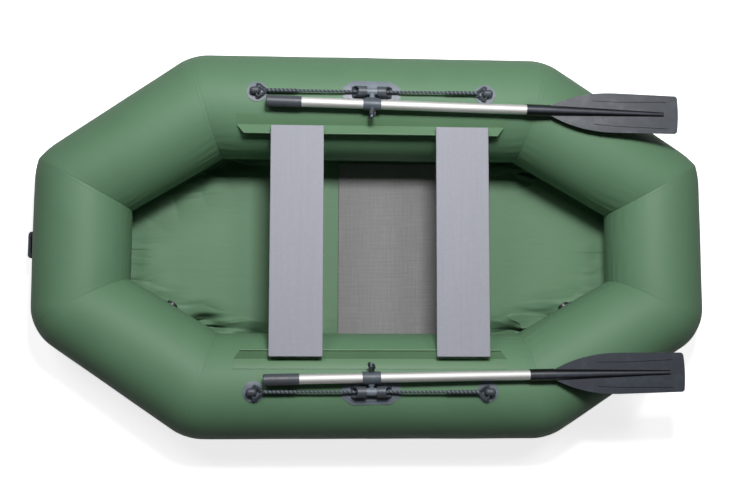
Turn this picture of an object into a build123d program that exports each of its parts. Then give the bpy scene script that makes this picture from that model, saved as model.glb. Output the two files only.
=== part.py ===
from build123d import *
from dataclasses import dataclass
from math import asin, cos, degrees, radians, sin, sqrt, tan
import os

# Inflatable rowing boat: a ring of eight air tubes on a flat bottom sheet, with two sliding seats,
# a floor mat, lifelines and two oars that swivel on their rowlocks.
# +X points to the bow, +Y to port and +Z up. The origin is on the underside of the bottom sheet,
# halfway between the bow and stern tubes. All sizes are millimetres and all angles degrees.

# Air tubes
END_X = 1030.0                  # from the origin to the axes of the bow and stern tubes
END_HALF_WIDTH = 220.0          # from the middle to a corner of an end tube's axis
SIDE_Y = 500.0                  # from the middle to the axes of the side tubes
BOW_SHOULDER_X = 593.0          # where a side tube's axis turns into the bow quarter
STERN_SHOULDER_X = 570.0        # where it turns into the stern quarter
SIDE_RADIUS = 185.0
END_RADIUS = 170.0

# Bottom
SHEET = 2.0                     # thickness of the bottom sheet and its lap
LAP_HEIGHT = 42.0               # how far the lap climbs the outside of the tubes
MAT_FRONT_X = 117.0
MAT_REAR_X = -354.0
MAT_HALF_WIDTH = 335.0
MAT_THICKNESS = 8.0
MAT_CORNER = 12.0
MAT_EDGE = 2.0

# Seats and the rails that they slide on
SEAT_LENGTH = 794.0
SEAT_WIDTH = 183.0
SEAT_THICKNESS = 12.0
SEAT_CORNER = 5.0
SEAT_EDGE = 3.0
SEAT_LIFT = 12.0                # from the bead's middle to the seat's underside
FORE_SEAT_SETBACK = 211.0       # from the rails' bow ends to the middle of the fore seat
AFT_SEAT_SETBACK = 153.0        # from the rails' stern ends to the middle of the aft seat
RAIL_INSET = 96.0               # from the side tube's axis, inboard to the line where the flap leaves it
RAIL_LENGTH = 935.0             # along the root
RAIL_END_SLANT = 24.0           # how much shorter the flap is at its bead, at each end
RAIL_BASE_WIDTH = 34.0          # glued strip, outboard of the root
RAIL_BASE = 2.0
RAIL_FLAP = 3.0
BEAD_REACH = 30.0               # from the root inboard to the bead
BEAD_RISE = 11.85               # from the root up to the bead
BEAD_RADIUS = 4.0
TRACK_GAP = 0.6                 # running clearance round the bead and the flap
TRACK_WALL = 4.0
TRACK_SETBACK = 8.0             # from the seat's edge to the end of its track

# Rowlock bases on the side tubes
AXLE_RISE = 20.0                # from the crown of the tube to the axle
ROWLOCK_Y = 515.0
AXLE_RADIUS = 8.0
AXLE_BORE = 6.0                 # radius of the way through for the lifeline
AXLE_PLAY = 0.05                # radial running clearance
ROWLOCK_TOE_IN = 0.9            # how far the whole rowlock turns the stowed oar's blade inboard
BASE_LENGTH = 200.0
BASE_WIDTH = 86.0
BASE_CORNER = 34.0              # how far the base plate's corners are cut back along its length
BASE_CORNER_DEPTH = 24.0        # and across it
BASE_PLATE = 2.5
BASE_STEP = 10.0                # width of the lower rim round the raised middle
BOSS_RADIUS = 19.0
BOSS_REACH = 72.0               # from the middle to a boss's outer end at the foot
BOSS_CUT = 26.0                 # how much shorter the boss is at its top
MOUTH_WALL = 3.0                # wall round the boss's open mouth
MOUTH_DEPTH = 30.0              # from the boss's outer end to the bottom of its mouth
AXLE_STANDOUT = 2.0             # how far the axle stands out of the bottom of the mouth
SWIVEL_SLOT = 35.0              # gap between the two bosses

# Swivels and oars
SWIVEL_SIDE_PLAY = 0.8
SWIVEL_RADIUS = 13.5
STEM_RADIUS = 9.0
SEAT_RING = 3.0                 # how far the round seats between the stem and the oar stand out
SEAT_RING_DEPTH = 4.0
PIN_RADIUS = 5.0
PIN_PLAY = 0.1
PIN_REACH = 99.0                # from the axle to the pin's tip
OAR_OFFSET = 49.0               # from the axle to the oar's axis
STOWED_ANGLE = 14.0             # the pin's rise above level when the oar lies inboard
OAR_DROOP = 0.7                 # how far the stowed oar slopes down to its blade
COLLAR_RADIUS = 21.5
COLLAR_EDGE = 1.5
COLLAR_LENGTH = 61.0
SHAFT_RADIUS = 17.0
SHAFT_WALL = 1.5
OAR_FIT = 0.1                   # radial clearance of what is pushed onto the shaft
GRIP_START = 242.0              # from the rowlock's middle to the grip, towards the bow
GRIP_LENGTH = 121.0
GRIP_RADIUS = 19.5
GRIP_END = 6.0                  # thickness of the grip's closed end
GRIP_EDGE = 3.0
SHAFT_IN_GRIP_PLAY = 1.0        # from the shaft's end to the inside of the grip's end
SOCKET_START = 537.0            # from the rowlock's middle to the blade's socket, aft
SOCKET_LENGTH = 84.0
SOCKET_RADIUS = 20.0
SHAFT_IN_SOCKET = 60.0
BLADE_TURN = 14.0               # about the shaft, which brings the stowed oar's blade level
BLADE_LENGTH = 454.0
BLADE_HALF_WIDTH = 70.0
BLADE_FLARE = 28.0              # degrees at which each edge leaves the spine at the neck
BLADE_SHOULDER = 225.0          # from the neck to the full width
BLADE_TAPER = 3.0               # how much each half is narrower at the tip than at the shoulder
BLADE_THICKNESS = 4.0
BLADE_CORNER = 11.0
BLADE_TIP_BULGE = 4.0           # how far the tip's middle stands beyond its corners
SPINE_RADIUS = 18.5             # at the neck
SPINE_TIP_RADIUS = 8.0
SPINE_LENGTH = 402.0
RIB_START = 150.0               # from the neck
RIB_LENGTH = 262.0
RIB_START_OFFSET = 41.0         # from the spine's axis to the rib's ends
RIB_END_OFFSET = 47.0
RIB_WIDTH = 9.0                 # at its widest
RIB_WIDEST = 90.0               # from its start to there
RIB_START_WIDTH = 2.0
RIB_END_WIDTH = 6.0
RIB_HEIGHT = 3.0                # above the blade, on both faces
NUT_RADIUS = 10.0
NUT_LENGTH = 18.0
WING_SPAN = 46.0
WING_HEIGHT = 24.0
WING_THICKNESS = 5.0
WING_TURN = 25.0                # how far the wings are turned from upright
WING_START = 8.0                # from the nut's seat to the foot of its wings

# Lifelines and their eyes
EYE_SPACING = 396.5             # from the rowlock's middle to each eye
EYE_PATCH_RADIUS = 36.0
EYE_PATCH = 2.5
EYE_RADIUS = 13.0               # of its round ends
EYE_TAIL = 12.0                 # how far it is drawn out beyond the rope
EYE_CROWN = 12.0                # from the rope's axis to the top of the eye
EYE_HOLE_PLAY = 0.5
ROPE_RADIUS = 4.5
SPLICE_RADIUS = 6.5
SPLICE_LENGTH = 110.0
SPLICE_LAP = 6.0                # how far the splice covers the loop's two legs
LOOP_LENGTH = 37.0              # from the eye's hole to the splice
LOOP_STANDOFF = 9.0             # from the side of the eye to the loop's two corners
LOOP_BEND = 5.2

# Bow handle
HANDLE_DROP = 13.0              # degrees below the widest line of the bow tube
HANDLE_PATCH_LENGTH = 152.0
HANDLE_PATCH_WIDTH = 78.0
HANDLE_PATCH = 3.0
HANDLE_PATCH_CORNER = 23.0
HANDLE_LENGTH = 96.0
HANDLE_WIDTH = 22.0
HANDLE_REACH = 33.0             # from the tube to the outside of the grip
HANDLE_CORNER = 13.0
HANDLE_GRIP = 11.0
HANDLE_FOOT = 14.0              # length of each foot
HANDLE_INNER_CORNER = 6.0

# Valves, on the inner side of the port quarters
VALVE_DROP = 18.0               # degrees below the widest line of the tube
VALVE_FLANGE_RADIUS = 34.0
VALVE_FLANGE = 3.0
VALVE_CAP_RADIUS = 21.0
VALVE_CAP = 12.0
VALVE_EDGE = 3.0
VALVE_CAP_SEAT = 4.0            # how far the flange reaches in under the cap

BIG = 3000.0                    # larger than the boat, for cutting tools


@dataclass
class Corner:
    """A corner of the tube ring: the middle of the ball that fills it, and the ball's radius."""
    centre: Vector
    radius: float

    def grown(self, extra):
        return Corner(self.centre, self.radius + extra)


def ring_corners():
    """The eight corners, starting at the bow's port corner and going round by port and the stern.

    Each ball rests on the bottom sheet, so the thinner end tubes have lower axes.
    """
    port = [
        (END_X, END_HALF_WIDTH, END_RADIUS),
        (BOW_SHOULDER_X, SIDE_Y, SIDE_RADIUS),
        (-STERN_SHOULDER_X, SIDE_Y, SIDE_RADIUS),
        (-END_X, END_HALF_WIDTH, END_RADIUS),
    ]
    starboard = [(x, -y, radius) for x, y, radius in reversed(port)]
    return [Corner(Vector(x, y, SHEET + radius), radius) for x, y, radius in port + starboard]


CORNERS = ring_corners()
TUBE_NAMES = [
    "bow_quarter_port", "side_tube_port", "stern_quarter_port", "stern_tube",
    "stern_quarter_starboard", "side_tube_starboard", "bow_quarter_starboard", "bow_tube",
]
MIDSHIP_X = (BOW_SHOULDER_X - STERN_SHOULDER_X) / 2
SIDE_AXIS_Z = SHEET + SIDE_RADIUS
AXLE_Z = SIDE_AXIS_Z + SIDE_RADIUS + AXLE_RISE
RAIL_ROOT_Y = SIDE_Y - RAIL_INSET
RAIL_ROOT_Z = SIDE_AXIS_Z + sqrt(SIDE_RADIUS**2 - RAIL_INSET**2)
BEAD_Y = RAIL_ROOT_Y - BEAD_REACH
BEAD_Z = RAIL_ROOT_Z + BEAD_RISE
SEAT_UNDERSIDE = BEAD_Z + SEAT_LIFT
FORE_SEAT_X = MIDSHIP_X + RAIL_LENGTH / 2 - FORE_SEAT_SETBACK
AFT_SEAT_X = MIDSHIP_X - RAIL_LENGTH / 2 + AFT_SEAT_SETBACK


def narrowing(start, end):
    """The half angle, in radians, of the cone that touches both balls. Positive narrows to the end."""
    return asin((start.radius - end.radius) / (end.centre - start.centre).length)


def capsule(start, end):
    """The two balls and the cone that touches both, as one turned solid."""
    axis = end.centre - start.centre
    touch = 90 - degrees(narrowing(start, end))
    start_arc = CenterArc((0, 0), start.radius, 180, touch - 180)
    end_arc = CenterArc((axis.length, 0), end.radius, touch, -touch)
    flank = Line(start_arc @ 1, end_arc @ 0)
    middle = Line(end_arc @ 1, start_arc @ 0)
    profile = make_face(Curve() + [start_arc, flank, end_arc, middle])
    turned = revolve(profile, Axis.X, 360)
    return Plane(origin=start.centre, x_dir=axis, z_dir=axis.cross(Vector(0, 0, 1))) * turned


def mitre(corner, kept, other):
    """The plane where the two tubes at a corner meet. Its normal points to the kept tube.

    Two cones round one ball cut each other in a plane, and this is that plane, so the two mitred
    ends have the same outline.
    """
    lean_kept = narrowing(corner, kept)
    lean_other = narrowing(corner, other)
    along_kept = (kept.centre - corner.centre).normalized() * (1 / cos(lean_kept))
    along_other = (other.centre - corner.centre).normalized() * (1 / cos(lean_other))
    normal = along_kept - along_other
    offset = corner.radius * (tan(lean_kept) - tan(lean_other))
    return Plane(origin=corner.centre + normal * (offset / normal.length**2), z_dir=normal)


def ring_tube(index, extra=0.0):
    """One air tube of the ring with its two mitred ends, grown outwards by the extra thickness."""
    before, start, end, after = [CORNERS[(index + step) % 8].grown(extra) for step in (-1, 0, 1, 2)]
    tube = capsule(start, end)
    tube = split(tube, bisect_by=mitre(start, end, before), keep=Keep.TOP)
    return split(tube, bisect_by=mitre(end, start, after), keep=Keep.TOP)


def mirrored(shape):
    """The same shape on the other side of the boat."""
    return mirror(shape, about=Plane.XZ)


def plan_face():
    """The outline that the tubes' lowest lines make on the bottom sheet."""
    return make_face(Polyline(*[(c.centre.X, c.centre.Y) for c in CORNERS], close=True))


def bottom_sheet():
    return extrude(plan_face(), SHEET)


def bottom_lap():
    """The sheet's edge, turned up round the outside of the tubes and glued to them."""
    low = Pos(0, 0, LAP_HEIGHT / 2) * Box(BIG, BIG, LAP_HEIGHT)
    outside = low - extrude(plan_face(), LAP_HEIGHT)
    lap = Part()
    for index in range(8):
        lap += ring_tube(index, SHEET) & outside
    for index in range(8):
        lap -= ring_tube(index)
    return lap


def floor_mat():
    length = MAT_FRONT_X - MAT_REAR_X
    slab = Box(length, 2 * MAT_HALF_WIDTH, MAT_THICKNESS)
    slab = fillet(slab.edges().filter_by(Axis.Z), MAT_CORNER)
    slab = chamfer(slab.faces().sort_by(Axis.Z)[-1].edges(), MAT_EDGE)
    return Pos((MAT_FRONT_X + MAT_REAR_X) / 2, 0, SHEET + MAT_THICKNESS / 2) * slab


def side_layer(thickness):
    """A layer round the whole port side tube, from which its patches are cut."""
    length = BOW_SHOULDER_X + STERN_SHOULDER_X
    outer = Cylinder(SIDE_RADIUS + thickness, length, rotation=(0, 90, 0))
    inner = Cylinder(SIDE_RADIUS, length, rotation=(0, 90, 0))
    return Pos(MIDSHIP_X, SIDE_Y, SIDE_AXIS_Z) * (outer - inner)


def along_boat(section, length):
    """A port section, drawn in the cross plane with Y across and Z up, drawn out to both sides."""
    across = Plane(origin=(0, 0, 0), x_dir=(0, 1, 0), z_dir=(1, 0, 0))
    return extrude(across * section, length / 2, both=True)


def flap_section(thickness):
    """The flap's cross section, from the bead's middle up to the skin of the tube."""
    run = Vector(BEAD_REACH, RAIL_BASE / 2 - BEAD_RISE)
    lean = degrees(asin(run.Y / run.length))
    return Pos(BEAD_Y, BEAD_Z) * Rot(0, 0, lean) * Pos(run.length / 2, 0) * Rectangle(
        run.length, thickness)


def seat_rail():
    """The port rail: a strip glued along the tube, and a flap with a bead that the seats slide on."""
    strip_zone = Pos(MIDSHIP_X, RAIL_ROOT_Y + RAIL_BASE_WIDTH / 2, RAIL_ROOT_Z) * Box(
        RAIL_LENGTH, RAIL_BASE_WIDTH, SIDE_RADIUS)
    strip = side_layer(RAIL_BASE) & strip_zone
    flap = along_boat(Pos(BEAD_Y, BEAD_Z) * Circle(BEAD_RADIUS) + flap_section(RAIL_FLAP), RAIL_LENGTH)
    for end in (-1, 1):
        corner = Vector(end * RAIL_LENGTH / 2, RAIL_ROOT_Y, 0)
        slant = Vector(-end * RAIL_END_SLANT, -BEAD_REACH, 0)
        normal = slant.cross(Vector(0, 0, end))
        flap = split(flap, bisect_by=Plane(origin=corner, z_dir=normal), keep=Keep.TOP)
    tube = Pos(MIDSHIP_X, SIDE_Y, SIDE_AXIS_Z) * Cylinder(SIDE_RADIUS, BIG, rotation=(0, 90, 0))
    return strip + (Pos(MIDSHIP_X, 0, 0) * flap - tube)


def seat_plank():
    plank = Box(SEAT_WIDTH, SEAT_LENGTH, SEAT_THICKNESS)
    plank = fillet(plank.edges().filter_by(Axis.Z), SEAT_CORNER)
    plank = fillet(plank.faces().sort_by(Axis.Z)[-1].edges(), SEAT_EDGE)
    return Pos(0, 0, SEAT_UNDERSIDE + SEAT_THICKNESS / 2) * plank


def seat_track():
    """The port track under a seat: a channel closed round the bead, with a slot for the flap."""
    bore = BEAD_RADIUS + TRACK_GAP
    half_width = bore + TRACK_WALL
    height = SEAT_LIFT + half_width
    block = Pos(BEAD_Y, SEAT_UNDERSIDE - height / 2) * Rectangle(2 * half_width, height)
    channel = Pos(BEAD_Y, BEAD_Z) * Circle(bore) + flap_section(RAIL_FLAP + 2 * TRACK_GAP)
    return along_boat(block - channel, SEAT_WIDTH - 2 * TRACK_SETBACK)


def seat_tracks():
    track = seat_track()
    return Part() + [track, mirrored(track)]


def base_outline(inset):
    """The base plate's outline from above: a long plate with its four corners cut off."""
    half_length = BASE_LENGTH / 2 - inset
    half_width = BASE_WIDTH / 2 - inset
    cut = BASE_CORNER - inset / 2
    quarter = [
        (half_length, half_width - BASE_CORNER_DEPTH + inset / 2), (half_length - cut, half_width)]
    right = quarter + [(-x, y) for x, y in reversed(quarter)]
    left = [(-x, -y) for x, y in right]
    return make_face(Polyline(*right, *left, close=True))


def on_axle(shape):
    """Puts a piece whose axle lies along X through the origin in its place on the port tube."""
    return Pos(MIDSHIP_X, ROWLOCK_Y, AXLE_Z) * Rot(0, 0, ROWLOCK_TOE_IN) * shape


def rowlock_base():
    """The port rowlock's stepped base plate and its two bosses, bored for the axle.

    Each boss has a slanting mouth, open upwards, where the lifeline goes into the axle.
    """
    at_tube = Pos(MIDSHIP_X, ROWLOCK_Y, SIDE_AXIS_Z) * Rot(0, 0, ROWLOCK_TOE_IN)
    plate = side_layer(BASE_PLATE) & (at_tube * extrude(base_outline(0), BIG))
    plate += side_layer(2 * BASE_PLATE) & (at_tube * extrude(base_outline(BASE_STEP), BIG))
    boss = Cylinder(BOSS_RADIUS, 2 * BOSS_REACH, rotation=(0, 90, 0))
    boss += Pos(0, 0, -BOSS_RADIUS / 2) * Box(2 * BOSS_REACH, 2 * BOSS_RADIUS, BOSS_RADIUS)
    boss -= Box(SWIVEL_SLOT, BIG, BIG)
    for end in (-1, 1):
        foot = Vector(end * BOSS_REACH, 0, -BOSS_RADIUS)
        up_the_mouth = Vector(-end * BOSS_CUT, 0, 2 * BOSS_RADIUS)
        normal = up_the_mouth.cross(Vector(0, end, 0))
        boss = split(boss, bisect_by=Plane(origin=foot, z_dir=normal), keep=Keep.TOP)
    mouth = Cylinder(BOSS_RADIUS - MOUTH_WALL, 2 * MOUTH_DEPTH, rotation=(0, 90, 0))
    for end in (-1, 1):
        boss -= Pos(end * BOSS_REACH, 0, 0) * mouth
    boss -= Cylinder(AXLE_RADIUS, BIG, rotation=(0, 90, 0))
    tube = Pos(MIDSHIP_X, SIDE_Y, SIDE_AXIS_Z) * Cylinder(SIDE_RADIUS, BIG, rotation=(0, 90, 0))
    return (plate + on_axle(boss)) - tube


def rowlock_axle():
    """The port axle: a fixed tube through both bosses, open at its ends for the lifeline."""
    length = 2 * (BOSS_REACH - MOUTH_DEPTH + AXLE_STANDOUT)
    tube = Cylinder(AXLE_RADIUS, length) - Cylinder(AXLE_BORE, length)
    return on_axle(Rot(0, 90, 0) * tube)


def rope_eye(end):
    """A lifeline eye on the port tube: a round patch and a domed block with a hole across it.

    The block is drawn out away from the rowlock. The end is 1 for the fore eye and -1 for the aft one.
    """
    crown = Pos(MIDSHIP_X + end * EYE_SPACING, ROWLOCK_Y, SIDE_AXIS_Z + SIDE_RADIUS)
    patch = side_layer(EYE_PATCH) & (crown * Cylinder(EYE_PATCH_RADIUS, SIDE_RADIUS))
    dome_height = AXLE_RISE + EYE_CROWN - EYE_RADIUS
    post = Pos(0, 0, dome_height / 2) * Cylinder(EYE_RADIUS, dome_height) + Pos(
        0, 0, dome_height) * Sphere(EYE_RADIUS)
    section = Pos(0, dome_height / 2) * Rectangle(2 * EYE_RADIUS, dome_height)
    section += Pos(0, dome_height) * Circle(EYE_RADIUS)
    block = post + Pos(end * EYE_TAIL / 2, 0, 0) * along_boat(section, EYE_TAIL)
    block += Pos(end * EYE_TAIL, 0, 0) * post
    block = split(block, bisect_by=Plane.XY, keep=Keep.TOP)
    hole = Pos(0, 0, AXLE_RISE) * Cylinder(ROPE_RADIUS + EYE_HOLE_PLAY, BIG, rotation=(90, 0, 0))
    return patch + crown * (block - hole)


def rope_loop():
    """The spliced loop at a rope's end. Its back passes through the eye, along Y at the origin."""
    path = FilletPolyline((-LOOP_LENGTH, 0), (0, EYE_RADIUS + LOOP_STANDOFF), (0, 0), radius=LOOP_BEND)
    half = sweep(Plane(origin=path @ 0, z_dir=path % 0) * Circle(ROPE_RADIUS), path)
    return half + mirrored(half)


def lifeline():
    """The port lifeline, drawn tight from eye to eye through the axle, with a splice at each end."""
    reach = EYE_SPACING - LOOP_LENGTH
    line = Cylinder(ROPE_RADIUS, 2 * reach, rotation=(0, 90, 0))
    for turn in (0, 180):
        splice = Pos(reach - SPLICE_LENGTH / 2 + SPLICE_LAP, 0, 0) * Cylinder(
            SPLICE_RADIUS, SPLICE_LENGTH, rotation=(0, 90, 0))
        line += Rot(0, 0, turn) * (splice + Pos(EYE_SPACING, 0, 0) * rope_loop())
    return Pos(MIDSHIP_X, ROWLOCK_Y, AXLE_Z) * line


def swivel():
    """The part that turns on the axle: a crossbar, a stem and the pin through the oar.

    Built with the axle along X and the pin along Z, both through the origin.
    """
    bar = Cylinder(SWIVEL_RADIUS, SWIVEL_SLOT - 2 * SWIVEL_SIDE_PLAY, rotation=(0, 90, 0))
    stem_top = OAR_OFFSET - COLLAR_RADIUS
    stem = Pos(0, 0, stem_top / 2) * Cylinder(STEM_RADIUS, stem_top)
    pin = Pos(0, 0, PIN_REACH / 2) * Cylinder(PIN_RADIUS, PIN_REACH)
    seat = Pos(0, 0, stem_top - SEAT_RING_DEPTH / 2) * Cylinder(STEM_RADIUS + SEAT_RING, SEAT_RING_DEPTH)
    return bar + stem + pin + seat - Cylinder(AXLE_RADIUS + AXLE_PLAY, BIG, rotation=(0, 90, 0))


def pin_hole():
    return Cylinder(PIN_RADIUS + PIN_PLAY, BIG)


def collar():
    """The sleeve that holds the shaft, flat where it bears on the swivel and on the wing nut."""
    ring = Cylinder(COLLAR_RADIUS, COLLAR_LENGTH, rotation=(0, 90, 0))
    ring = chamfer(ring.edges(), COLLAR_EDGE)
    ring += Cylinder(STEM_RADIUS + SEAT_RING, 2 * COLLAR_RADIUS)
    ring -= Cylinder(SHAFT_RADIUS + OAR_FIT, BIG, rotation=(0, 90, 0))
    return Pos(0, 0, OAR_OFFSET) * (ring - pin_hole())


def shaft():
    """The aluminium tube, from inside the grip to inside the blade's socket."""
    front = GRIP_START + GRIP_LENGTH - GRIP_END - SHAFT_IN_GRIP_PLAY
    rear = -(SOCKET_START + SHAFT_IN_SOCKET)
    length = front - rear
    tube = Cylinder(SHAFT_RADIUS, length) - Cylinder(SHAFT_RADIUS - SHAFT_WALL, length)
    tube = Pos((front + rear) / 2, 0, 0) * Rot(0, 90, 0) * tube
    return Pos(0, 0, OAR_OFFSET) * (tube - pin_hole())


def grip():
    """A smooth handle sleeve with a closed end, pushed over the shaft."""
    sleeve = Cylinder(GRIP_RADIUS, GRIP_LENGTH)
    sleeve = chamfer(sleeve.edges().sort_by(Axis.Z)[-1], GRIP_EDGE)
    sleeve -= Pos(0, 0, -GRIP_END) * Cylinder(SHAFT_RADIUS + OAR_FIT, GRIP_LENGTH)
    return Pos(GRIP_START + GRIP_LENGTH / 2, 0, OAR_OFFSET) * Rot(0, 90, 0) * sleeve


def blade_outline():
    """The blade's outline from its neck, at the origin, to its rounded tip."""
    neck = (0, SPINE_RADIUS - BLADE_THICKNESS / 2)
    shoulder = (BLADE_SHOULDER, BLADE_HALF_WIDTH)
    corner = (BLADE_LENGTH - BLADE_TIP_BULGE, BLADE_HALF_WIDTH - BLADE_TAPER)
    leaving = (cos(radians(BLADE_FLARE)), sin(radians(BLADE_FLARE)))
    flare = Spline(neck, shoulder, tangents=[leaving, (1, 0)])
    tip = TangentArc((BLADE_LENGTH, 0), corner, tangent=(0, 1))
    middle = Polyline((BLADE_LENGTH, 0), (0, 0), neck)
    half = make_face(Curve() + [flare, Line(shoulder, corner), tip, middle])
    half = fillet(half.vertices().sort_by_distance(corner)[0], BLADE_CORNER)
    return half + mirror(half, about=Plane.XZ)


def blade_rib():
    """The raised rib on the half of the blade towards +Y, through both faces: a long blunt wedge."""
    run = Vector(RIB_LENGTH, RIB_END_OFFSET - RIB_START_OFFSET)
    lean = degrees(asin(run.Y / run.length))
    edge = [(0, RIB_START_WIDTH / 2), (RIB_WIDEST, RIB_WIDTH / 2), (run.length, RIB_END_WIDTH / 2)]
    wedge = make_face(Polyline(*edge, *[(x, -y) for x, y in reversed(edge)], close=True))
    placed = Pos(RIB_START, RIB_START_OFFSET) * Rot(0, 0, lean) * wedge
    return extrude(placed, BLADE_THICKNESS / 2 + RIB_HEIGHT, both=True)


def blade():
    """The flat blade with its socket, a tapering round spine and a rib near each long edge."""
    from_neck = (Align.CENTER, Align.CENTER, Align.MIN)
    to_neck = (Align.CENTER, Align.CENTER, Align.MAX)
    along = Rot(0, 90, 0)
    plate = extrude(blade_outline(), BLADE_THICKNESS / 2, both=True)
    plate += blade_rib()
    plate += mirrored(blade_rib())
    plate += along * Cone(SPINE_RADIUS, SPINE_TIP_RADIUS, SPINE_LENGTH, align=from_neck)
    socket = along * Cylinder(SOCKET_RADIUS, SOCKET_LENGTH, align=to_neck)
    hole = along * Cylinder(SHAFT_RADIUS + OAR_FIT, SHAFT_IN_SOCKET, align=from_neck)
    hole = Pos(-SOCKET_LENGTH, 0, 0) * hole
    placed = Rot(BLADE_TURN, 0, 0) * Rot(0, 0, 180) * Rot(90, 0, 0) * (plate + socket - hole)
    return Pos(-(SOCKET_START + SOCKET_LENGTH), 0, OAR_OFFSET) * placed


def wing_nut():
    """The nut on the pin's end, with a round wing on each side of its hub."""
    seated = (Align.CENTER, Align.CENTER, Align.MIN)
    hub = Cylinder(NUT_RADIUS, NUT_LENGTH, align=seated)
    wing_face = Pos(0, WING_START + WING_HEIGHT / 2) * Ellipse(WING_SPAN / 2, WING_HEIGHT / 2)
    wings = Rot(0, 0, WING_TURN) * extrude(Plane.YZ * wing_face, WING_THICKNESS / 2, both=True)
    gap = Pos(0, 0, NUT_LENGTH) * Cylinder(NUT_RADIUS, WING_HEIGHT, align=seated)
    return Pos(0, 0, OAR_OFFSET + COLLAR_RADIUS) * (hub + (wings - gap) - pin_hole())


def at_rowlock(shape, droop=OAR_DROOP):
    """Turns a piece of the swivel or oar from its own frame to its place, stowed to port."""
    return on_axle(Rot(90 - STOWED_ANGLE, 0, 0) * Rot(0, 0, droop) * shape)


def bow_handle_patch():
    """The round-cornered rubber patch on the bow tube."""
    outer = Cylinder(END_RADIUS + HANDLE_PATCH, 2 * END_HALF_WIDTH, rotation=(90, 0, 0))
    layer = outer - Cylinder(END_RADIUS, 2 * END_HALF_WIDTH, rotation=(90, 0, 0))
    outline = RectangleRounded(HANDLE_PATCH_WIDTH, HANDLE_PATCH_LENGTH, HANDLE_PATCH_CORNER)
    patch = layer & (Rot(0, 90, 0) * extrude(outline, BIG))
    return Pos(END_X, 0, SHEET + END_RADIUS) * Rot(0, HANDLE_DROP, 0) * patch


def bow_handle():
    """The grip: an arch that stands off its patch and leaves a way through for the fingers."""
    reach_in = HANDLE_REACH - HANDLE_GRIP
    outside = RectangleRounded(2 * HANDLE_REACH, HANDLE_LENGTH, HANDLE_CORNER)
    window = RectangleRounded(2 * reach_in, HANDLE_LENGTH - 2 * HANDLE_FOOT, HANDLE_INNER_CORNER)
    arch = Pos(END_RADIUS, 0, 0) * extrude(outside - window, HANDLE_WIDTH / 2, both=True)
    arch -= Cylinder(END_RADIUS + HANDLE_PATCH, 2 * HANDLE_LENGTH, rotation=(90, 0, 0))
    return Pos(END_X, 0, SHEET + END_RADIUS) * Rot(0, HANDLE_DROP, 0) * arch


def valve(start, end):
    """A valve half way along a quarter, on its inner side: a glued flange and a screwed cap."""
    middle = (start.centre + end.centre) * 0.5
    radius = (start.radius + end.radius) / 2 / cos(narrowing(start, end))
    axis = end.centre - start.centre
    inward = Vector(-axis.Y, axis.X, 0).normalized()
    if inward.dot(middle) > 0:
        inward = inward * -1
    facing = (inward * cos(radians(VALVE_DROP)) - Vector(0, 0, 1) * sin(radians(VALVE_DROP))).normalized()
    flange = Cylinder(VALVE_FLANGE_RADIUS, radius / 2)
    flange -= Cylinder(VALVE_CAP_RADIUS - VALVE_CAP_SEAT, radius / 2)
    cap = Pos(0, 0, VALVE_CAP / 2) * Cylinder(VALVE_CAP_RADIUS, VALVE_CAP + VALVE_FLANGE)
    cap = chamfer(cap.edges().sort_by(Axis.Z)[-1], VALVE_EDGE)
    place = Plane(origin=middle + facing * radius, z_dir=facing)
    tube = capsule(start, end)
    skin = capsule(start.grown(VALVE_FLANGE), end.grown(VALVE_FLANGE)) - tube
    return (place * flange & skin) + (place * cap - tube)


def main():
    os.makedirs("parts", exist_ok=True)
    nodes = {name: ring_tube(index) for index, name in enumerate(TUBE_NAMES)}
    nodes["bottom_sheet"] = bottom_sheet()
    nodes["bottom_lap"] = bottom_lap()
    nodes["floor_mat"] = floor_mat()
    for name, x in (("fore", FORE_SEAT_X), ("aft", AFT_SEAT_X)):
        nodes[f"seat_plank_{name}"] = Pos(x, 0, 0) * seat_plank()
        nodes[f"seat_tracks_{name}"] = Pos(x, 0, 0) * seat_tracks()
    sided = {
        "seat_rail": seat_rail(),
        "rowlock_base": rowlock_base(),
        "rowlock_axle": rowlock_axle(),
        "rope_eye_fore": rope_eye(1),
        "rope_eye_aft": rope_eye(-1),
        "lifeline": lifeline(),
        "oar_swivel": at_rowlock(swivel(), droop=0),
        "oar_collar": at_rowlock(collar()),
        "oar_shaft": at_rowlock(shaft()),
        "oar_grip": at_rowlock(grip()),
        "oar_blade": at_rowlock(blade()),
        "oar_wing_nut": at_rowlock(wing_nut()),
    }
    for name, shape in sided.items():
        nodes[f"{name}_port"] = shape
        nodes[f"{name}_starboard"] = mirrored(shape)
    nodes["bow_handle_patch"] = bow_handle_patch()
    nodes["bow_handle"] = bow_handle()
    nodes["valve_bow"] = valve(CORNERS[0], CORNERS[1])
    nodes["valve_stern"] = valve(CORNERS[2], CORNERS[3])
    for name, shape in nodes.items():
        export_step(shape, f"parts/{name}.step")


main()
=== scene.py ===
"""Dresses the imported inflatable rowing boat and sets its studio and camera.

+X points to the bow, +Y to port and +Z up. All lengths are metres. The origin is on the underside of
the bottom sheet, halfway between the bow and stern tubes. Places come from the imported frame's boxes.
"""
import logging
import math
from dataclasses import dataclass, field
from enum import Enum
from typing import Callable, ClassVar

import bpy
from mathutils import Euler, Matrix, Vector, noise


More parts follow.
